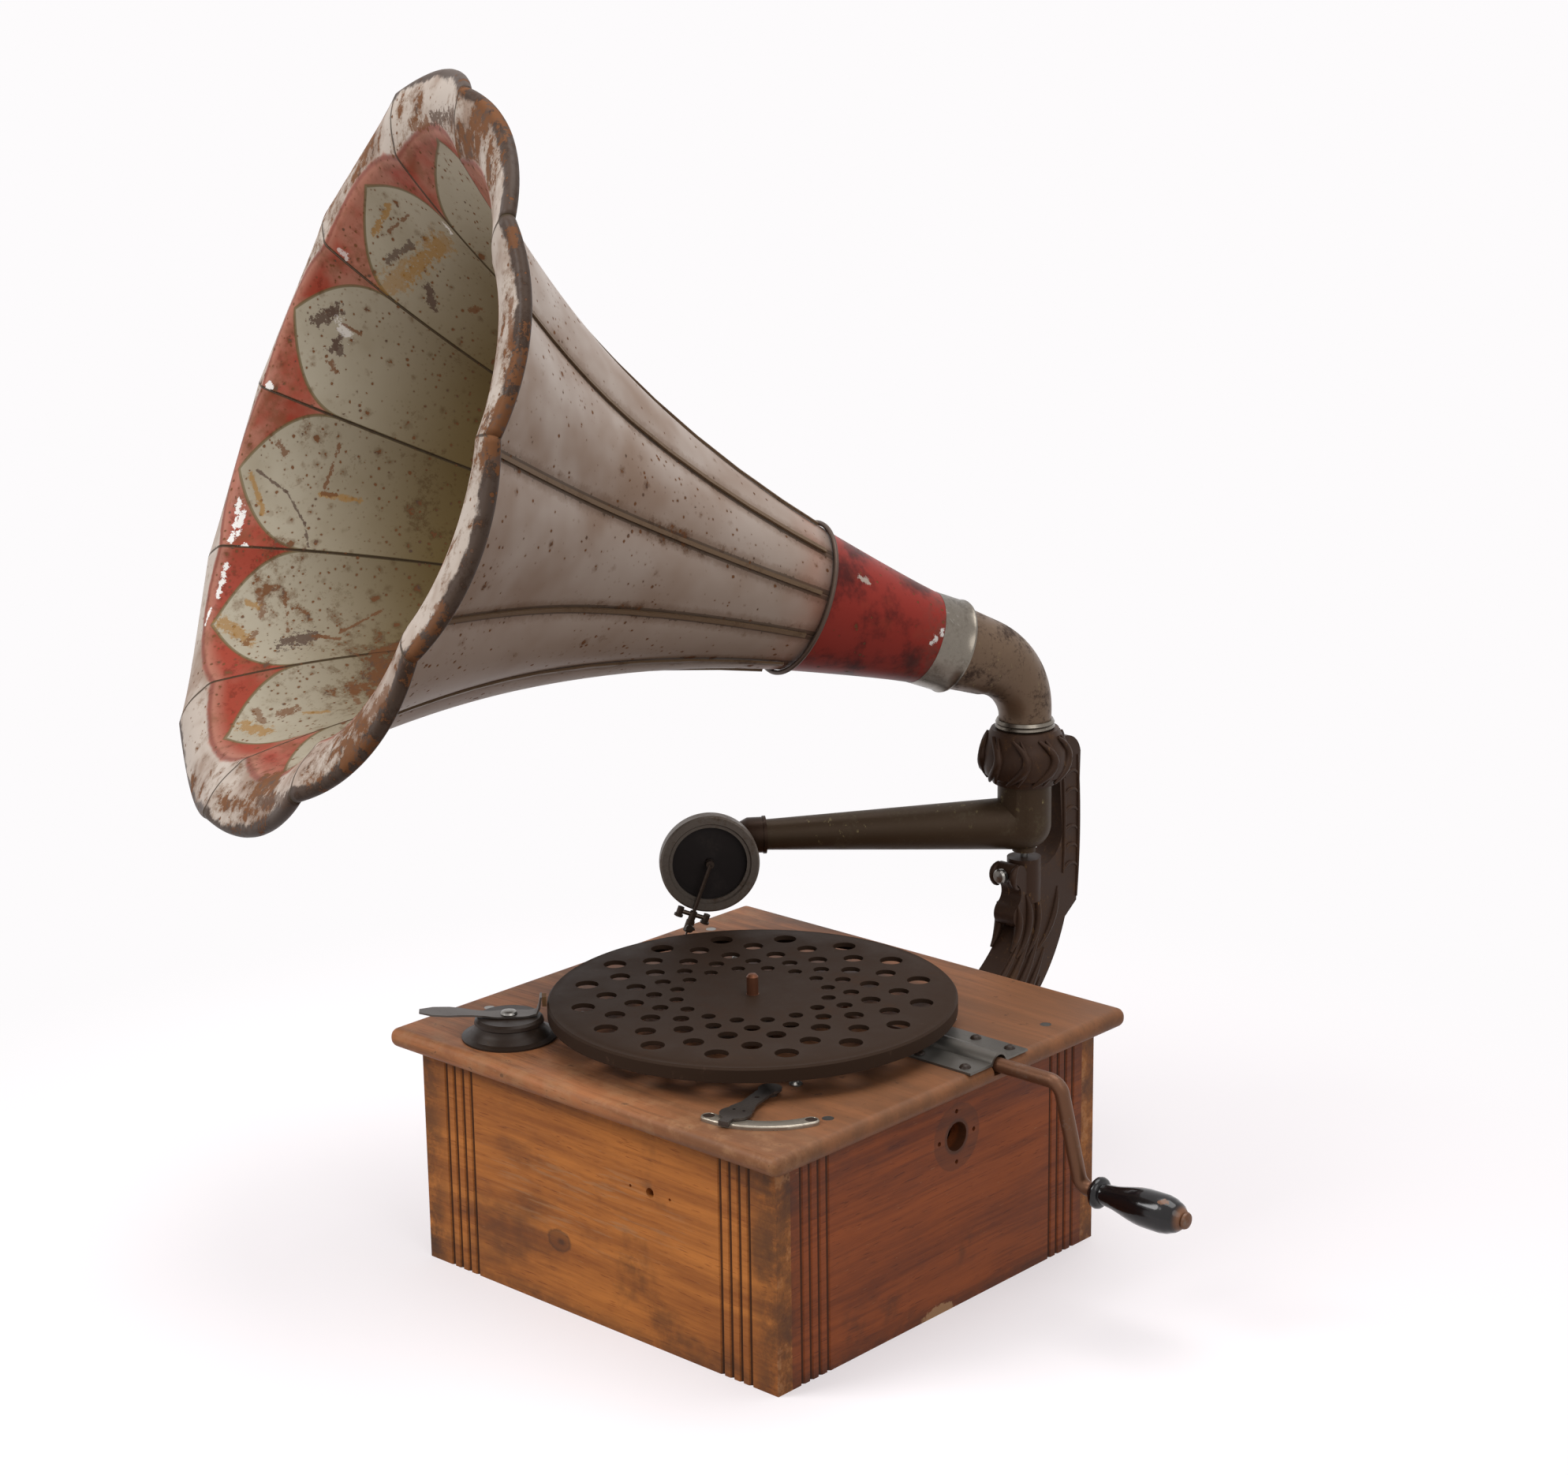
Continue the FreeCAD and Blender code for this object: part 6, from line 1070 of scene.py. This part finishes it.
class GRAM_OT_cabinet(bpy.types.Operator):
    """Gives the cabinet's boards their varnished and worn wood"""
    bl_idname = "gramophone.cabinet"
    bl_label = "Cabinet boards"

    def execute(self, context):
        look = context.scene.cabinet_look
        along_y = (0, 0, math.pi / 2)

        def face_marks(tree, place, base, across, half):
            """Grooves, dark ends, the shade under the top board and the chipped, paler lower edge."""
            _, _, z = tree.separate(place)
            fine = tree.noise(place, 70.0, 5.0, 0.7)
            wide = tree.noise(place, 18.0, 4.0, 0.6)
            corner = tree.step(tree.size(across), half - 0.030, half - 0.003)
            under = tree.step(z, CABINET_HEIGHT - 0.016, CABINET_HEIGHT)
            low = tree.step(z, 0.014, 0.0)
            smudge = tree.step(wide, 0.56, 0.70)
            grime = tree.most(tree.times(corner, tree.plus(0.2, wide)), tree.times(under, 0.6))
            grime = tree.most(grime, tree.times(tree.most(low, smudge), 0.5))
            base = tree.cover(base, look.grime, grime, tree.step(fine, 0.25, 0.6))
            ridge = tree.plus(z, tree.swing(fine, 0.016))
            base = tree.cover(base, look.bare, tree.step(ridge, -0.001, -0.003), 0.8)
            arris = tree.plus(tree.less(half, tree.size(across)), tree.swing(fine, 0.010))
            base = tree.cover(base, look.bare, tree.step(arris, -0.0004, -0.0014), 0.4)
            return tree.cover(base, look.grime, groove_lines(tree, across, half), 0.85)

        def front_marks(tree, place, base):
            x = tree.separate(place)[0]
            base = face_marks(tree, place, base, x, HALF_WIDTH)
            outer = spot(tree, place, KNOT, 0.0078, 0.002, (0.85, 1, 1.25), 0.004)
            inner = spot(tree, place, KNOT, 0.0058, 0.002, (0.85, 1, 1.25), 0.004)
            heart = spot(tree, place, KNOT_HEART, 0.0010, 0.003, (0.8, 1, 1.3), 0.003)
            ring = tree.less(outer, tree.times(inner, 0.6))
            base = tree.cover(base, look.knot, inner, 0.55)
            base = tree.cover(base, look.grime, ring, 0.65)
            base = tree.cover(base, look.grime, heart, 0.7)
            smear = spot(tree, place, SMEAR, 0.005, 0.008, (1, 1, 0.5), 0.008)
            base = tree.cover(base, look.grime, smear, 0.6)
            rubbed = spot(tree, place, RUBBED, 0.02, 0.03, (0.45, 1, 1.2), 0.02)
            scraped = tree.step(tree.noise(tree.stretch(place, (30.0, 400.0, 400.0)), 1.0, 3.0, 0.6), 0.54,
                                0.64)
            rubbed = tree.times(rubbed, scraped)
            return tree.cover(base, look.bare, rubbed, 0.4)

        def side_marks(tree, place, base):
            y = tree.separate(place)[1]
            base = face_marks(tree, place, base, y, HALF_DEPTH)
            ring = spot(tree, place, PORT, 0.0205, 0.001, (1, 1, 1), 0.003)
            base = tree.cover(base, look.grime, ring, 0.4)
            hole = spot(tree, place, PORT, 0.0100, 0.002)
            base = tree.cover(base, look.grime, hole, 0.7)
            chip = spot(tree, place, SIDE_CHIP, 0.0050, 0.001, (1, 0.36, 0.9), 0.006)
            return tree.cover(base, look.bare, chip, 0.9)

        def top_marks(tree, place, base):
            x, y, _ = tree.separate(place)
            fine = tree.noise(place, 60.0, 5.0, 0.7)
            # Painted shadow of the platter: the top board darker under the platter, fading outwards
            platter_shadow = spot(tree, place, PLATTER_SHADOW, 0.11, 0.05, (1, 1, 1), 0.03)
            base = tree.cover(base, look.grime, platter_shadow, 0.45)
            # Painted shade: the top board turns darker towards the right
            right = tree.step(x, -0.02, 0.12)
            base = tree.cover(base, look.top_dark, right, 0.7)
            front = tree.step(y, -0.10, -0.163)
            left = tree.step(x, -0.10, -0.164)
            edge = tree.times(tree.most(front, left), tree.step(fine, 0.45, 0.65))
            base = tree.cover(base, look.bare, edge, 0.35)
            spots = tree.step(tree.noise(place, 120.0, 4.0, 0.65), 0.66, 0.70)
            return tree.cover(base, look.grime, spots, 0.55)

        front = wood_material("Front wood", look.front_light, look.front_dark, look, (0, 0, 0), 0.55, 0.35,
                              front_marks)
        side = wood_material("Side wood", look.side_light, look.side_dark, look, along_y, 0.6, 0.35,
                             side_marks)
        top = wood_material("Top wood", look.top_light, look.top_dark, look, (0, 0, 0), 0.55, 0.5, top_marks)
        inner = wood_material("Inner wood", look.front_light, look.front_dark, look, along_y, 0.5, 0.1)
        for node in ("front_panel", "back_panel"):
            dress(node, front)
        dress("right_side_panel", side)
        dress("left_side_panel", side)
        dress("top_board", top)
        dress("bottom_board", inner)
        dress("corner_blocks", inner)
        return {"FINISHED"}


# Aged metals as (name, clean and tarnished colour, shader values, other settings, nodes). A colour is a
# setting of the metals' look or a code; the values are aged_metal's from amount to relief.
METALS = (
    ("Platter steel", "platter", "48352A", (0.45, 0.3, 0.1, 0.6, 0.75, 0.2),
     {"wear": 0.35, "fleck": "5E4A3C", "specular": 0.06}, "turntable_platter"),
    ("Spindle bronze", "bronze", "5E3A26", (0.4, 0.3, 0.6, 0.38, 0.6, 0.1), {},
     "turntable_spindle crank_bearings"),
    ("Bracket iron", "iron", "60442C", (0.5, 0.3, 0.15, 0.45, 0.65, 0.3),
     {"wear": 0.7, "fleck": "80603E", "specular": 0.12}, "back_bracket"),
    ("Arm lacquer", "arm", "5C5140", (0.45, 0.25, 0.2, 0.45, 0.65, 0.25),
     {"wear": 0.95, "fleck": "988A62", "specular": 0.12}, "tone_arm"),
    ("Sleeve lacquer", "38281E", "5A4630", (0.35, 0.3, 0.3, 0.4, 0.6, 0.2),
     {"wear": 0.5, "fleck": "7A6444", "specular": 0.1}, "coupling_sleeve"),
    ("Elbow lacquer", "elbow", "3E2E24", (0.55, 0.14, 0.3, 0.38, 0.6, 0.3), {"wear": 0.9, "fleck": "8C7C5A"},
     "horn_elbow"),
    ("Dull nickel", "nickel", "4C443B", (0.6, 0.3, 0.9, 0.3, 0.55, 0.2), {"wear": 0.3, "fleck": "C8C4BC"},
     "nickel_rings"),
    ("Strip nickel", "A39A8C", "6A6056", (0.5, 0.3, 0.8, 0.3, 0.55, 0.15), {}, "speed_strip"),
    ("Grey tin", "tin", "565250", (0.45, 0.3, 0.7, 0.38, 0.6, 0.15), {}, "winding_plate"),
    ("Soundbox fittings", "4A3E36", "2C221C", (0.5, 0.3, 0.6, 0.4, 0.6, 0.2), {}, "stylus_bar needle_screw"),
    ("Rusted rod", "crank", "8A8078", (0.4, 0.25, 0.5, 0.42, 0.65, 0.3), {}, "winding_crank"),
    ("Lever steel", "57504B", "3A332F", (0.5, 0.3, 0.7, 0.35, 0.55, 0.1), {},
     "speed_lever brake_lever friction_arm"),
    ("Brake iron", "30251E", "4C3C2E", (0.45, 0.3, 0.1, 0.4, 0.6, 0.2), {}, "brake_base deck_screws"),
    ("Soundbox alloy", "6B625A", "4E3B2C", (0.5, 0.25, 0.5, 0.45, 0.7, 0.3), {},
     "soundbox_back soundbox_housing soundbox_front_ring"),
    ("Dark disc", "241F1E", "3A322E", (0.4, 0.3, 0.1, 0.4, 0.55, 0.1), {}, "soundbox_diaphragm"),
    ("Seam gold", "6E5843", "4A3524", (0.5, 0.25, 0.1, 0.42, 0.65, 0.2), {}, "horn_seams"),
    ("Throat bead", "5A4A40", "1E1815", (0.4, 0.3, 0.3, 0.45, 0.65, 0.2), {}, "throat_ring"),
    ("Blued spring", "4A5160", "2E2A2A", (0.3, 0.3, 0.9, 0.25, 0.45, 0.05), {}, "mainspring"),
    ("Motor brass", "B08D4A", "7A5A2C", (0.4, 0.3, 0.9, 0.28, 0.5, 0.1), {},
     "mainspring_barrel barrel_cover intermediate_pinion intermediate_wheel governor_wheel "
     "governor_disc governor_weights"),
    ("Motor steel", "8A8782", "5A5550", (0.3, 0.3, 0.9, 0.3, 0.5, 0.1), {},
     "motor_upper_plate motor_lower_plate motor_pillars motor_fasteners barrel_arbor winding_crown_wheel "
     "ratchet_pawl governor_shaft governor_springs governor_bearings crank_pinion pivot_pin pivot_lock_screw "
     "needle cabinet_screws brake_pivot"))


def handle_lacquer():
    """Black lacquer, worn through at the handle's end and in small chips."""
    material, tree, shader, place = start_material("Handle lacquer", 0.0, 0.18, Coat_Weight=0.4,
                                                  Coat_Roughness=0.12)
    worn = tree.step(tree.separate(place)[0], HANDLE_END, HANDLE_END + 0.004)
    chips = tree.step(tree.noise(place, 90.0, 4.0), 0.66, 0.70)
    worn = tree.most(worn, tree.times(chips, 0.8))
    tree.feed(shader.inputs["Base Color"], tree.mix(worn, colour("141112"), colour("7A5238")))
    tree.feed(shader.inputs["Roughness"], tree.blend(worn, 0.16, 0.6))
    bump(tree, shader, tree.less(1.0, worn), 0.3, 0.0003)
    return material


class GRAM_OT_metals(bpy.types.Operator):
    """Gives every metal, leather and lacquer part its finish"""
    bl_idname = "gramophone.metals"
    bl_label = "Metal and small parts"

    def execute(self, context):
        look = context.scene.metal_look
        for name, clean, tarnish, values, others, nodes in METALS:
            clean = getattr(look, clean) if hasattr(look, clean) else colour(clean)
            metal = aged_metal(name, clean, colour(tarnish), *values, **others)
            for node in nodes.split():
                smooth_form(node, metal)
        smooth_form("crank_handle", handle_lacquer())
        smooth_form("brake_pad", soft_material("Brake leather", "5A3F2A", "80603F", 300.0, 0.7))
        smooth_form("soundbox_gaskets", soft_material("Gasket rubber", "1E1A18", "35302C", 200.0, 0.75))
        smooth_form("horn_throat", throat_enamel(context.scene.horn_look))
        return {"FINISHED"}


class GRAM_PT_panel(bpy.types.Panel):
    """Shows a button for each builder and the settings of each look"""
    bl_label = "Horn gramophone"
    bl_idname = "GRAM_PT_panel"
    bl_space_type = "VIEW_3D"
    bl_region_type = "UI"
    bl_category = "Gramophone"

    def draw(self, context):
        for operator in OPERATORS:
            self.layout.operator(operator.bl_idname)
        for look in ("cabinet_look", "horn_look", "metal_look", "stage_look"):
            group = getattr(context.scene, look)
            box = self.layout.box()
            for name in group.bl_rna.properties.keys():
                if name not in ("rna_type", "name"):
                    box.prop(group, name)


LOOKS = (("cabinet_look", CabinetLook), ("horn_look", HornLook), ("metal_look", MetalLook),
         ("stage_look", StageLook))
OPERATORS = (GRAM_OT_stage, GRAM_OT_cabinet, GRAM_OT_metals, GRAM_OT_horn, GRAM_OT_leaves)


def register():
    for name, look in LOOKS:
        bpy.utils.register_class(look)
        setattr(bpy.types.Scene, name, bpy.props.PointerProperty(type=look))
    for operator in OPERATORS:
        bpy.utils.register_class(operator)
    bpy.utils.register_class(GRAM_PT_panel)


def unregister():
    bpy.utils.unregister_class(GRAM_PT_panel)
    for operator in reversed(OPERATORS):
        bpy.utils.unregister_class(operator)
    for name, look in reversed(LOOKS):
        delattr(bpy.types.Scene, name)
        bpy.utils.unregister_class(look)


def main():
    register()
    bpy.ops.gramophone.stage()
    bpy.ops.gramophone.cabinet()
    bpy.ops.gramophone.metals()
    bpy.ops.gramophone.horn()
    bpy.ops.gramophone.leaves()


if __name__ == "__main__":
    main()
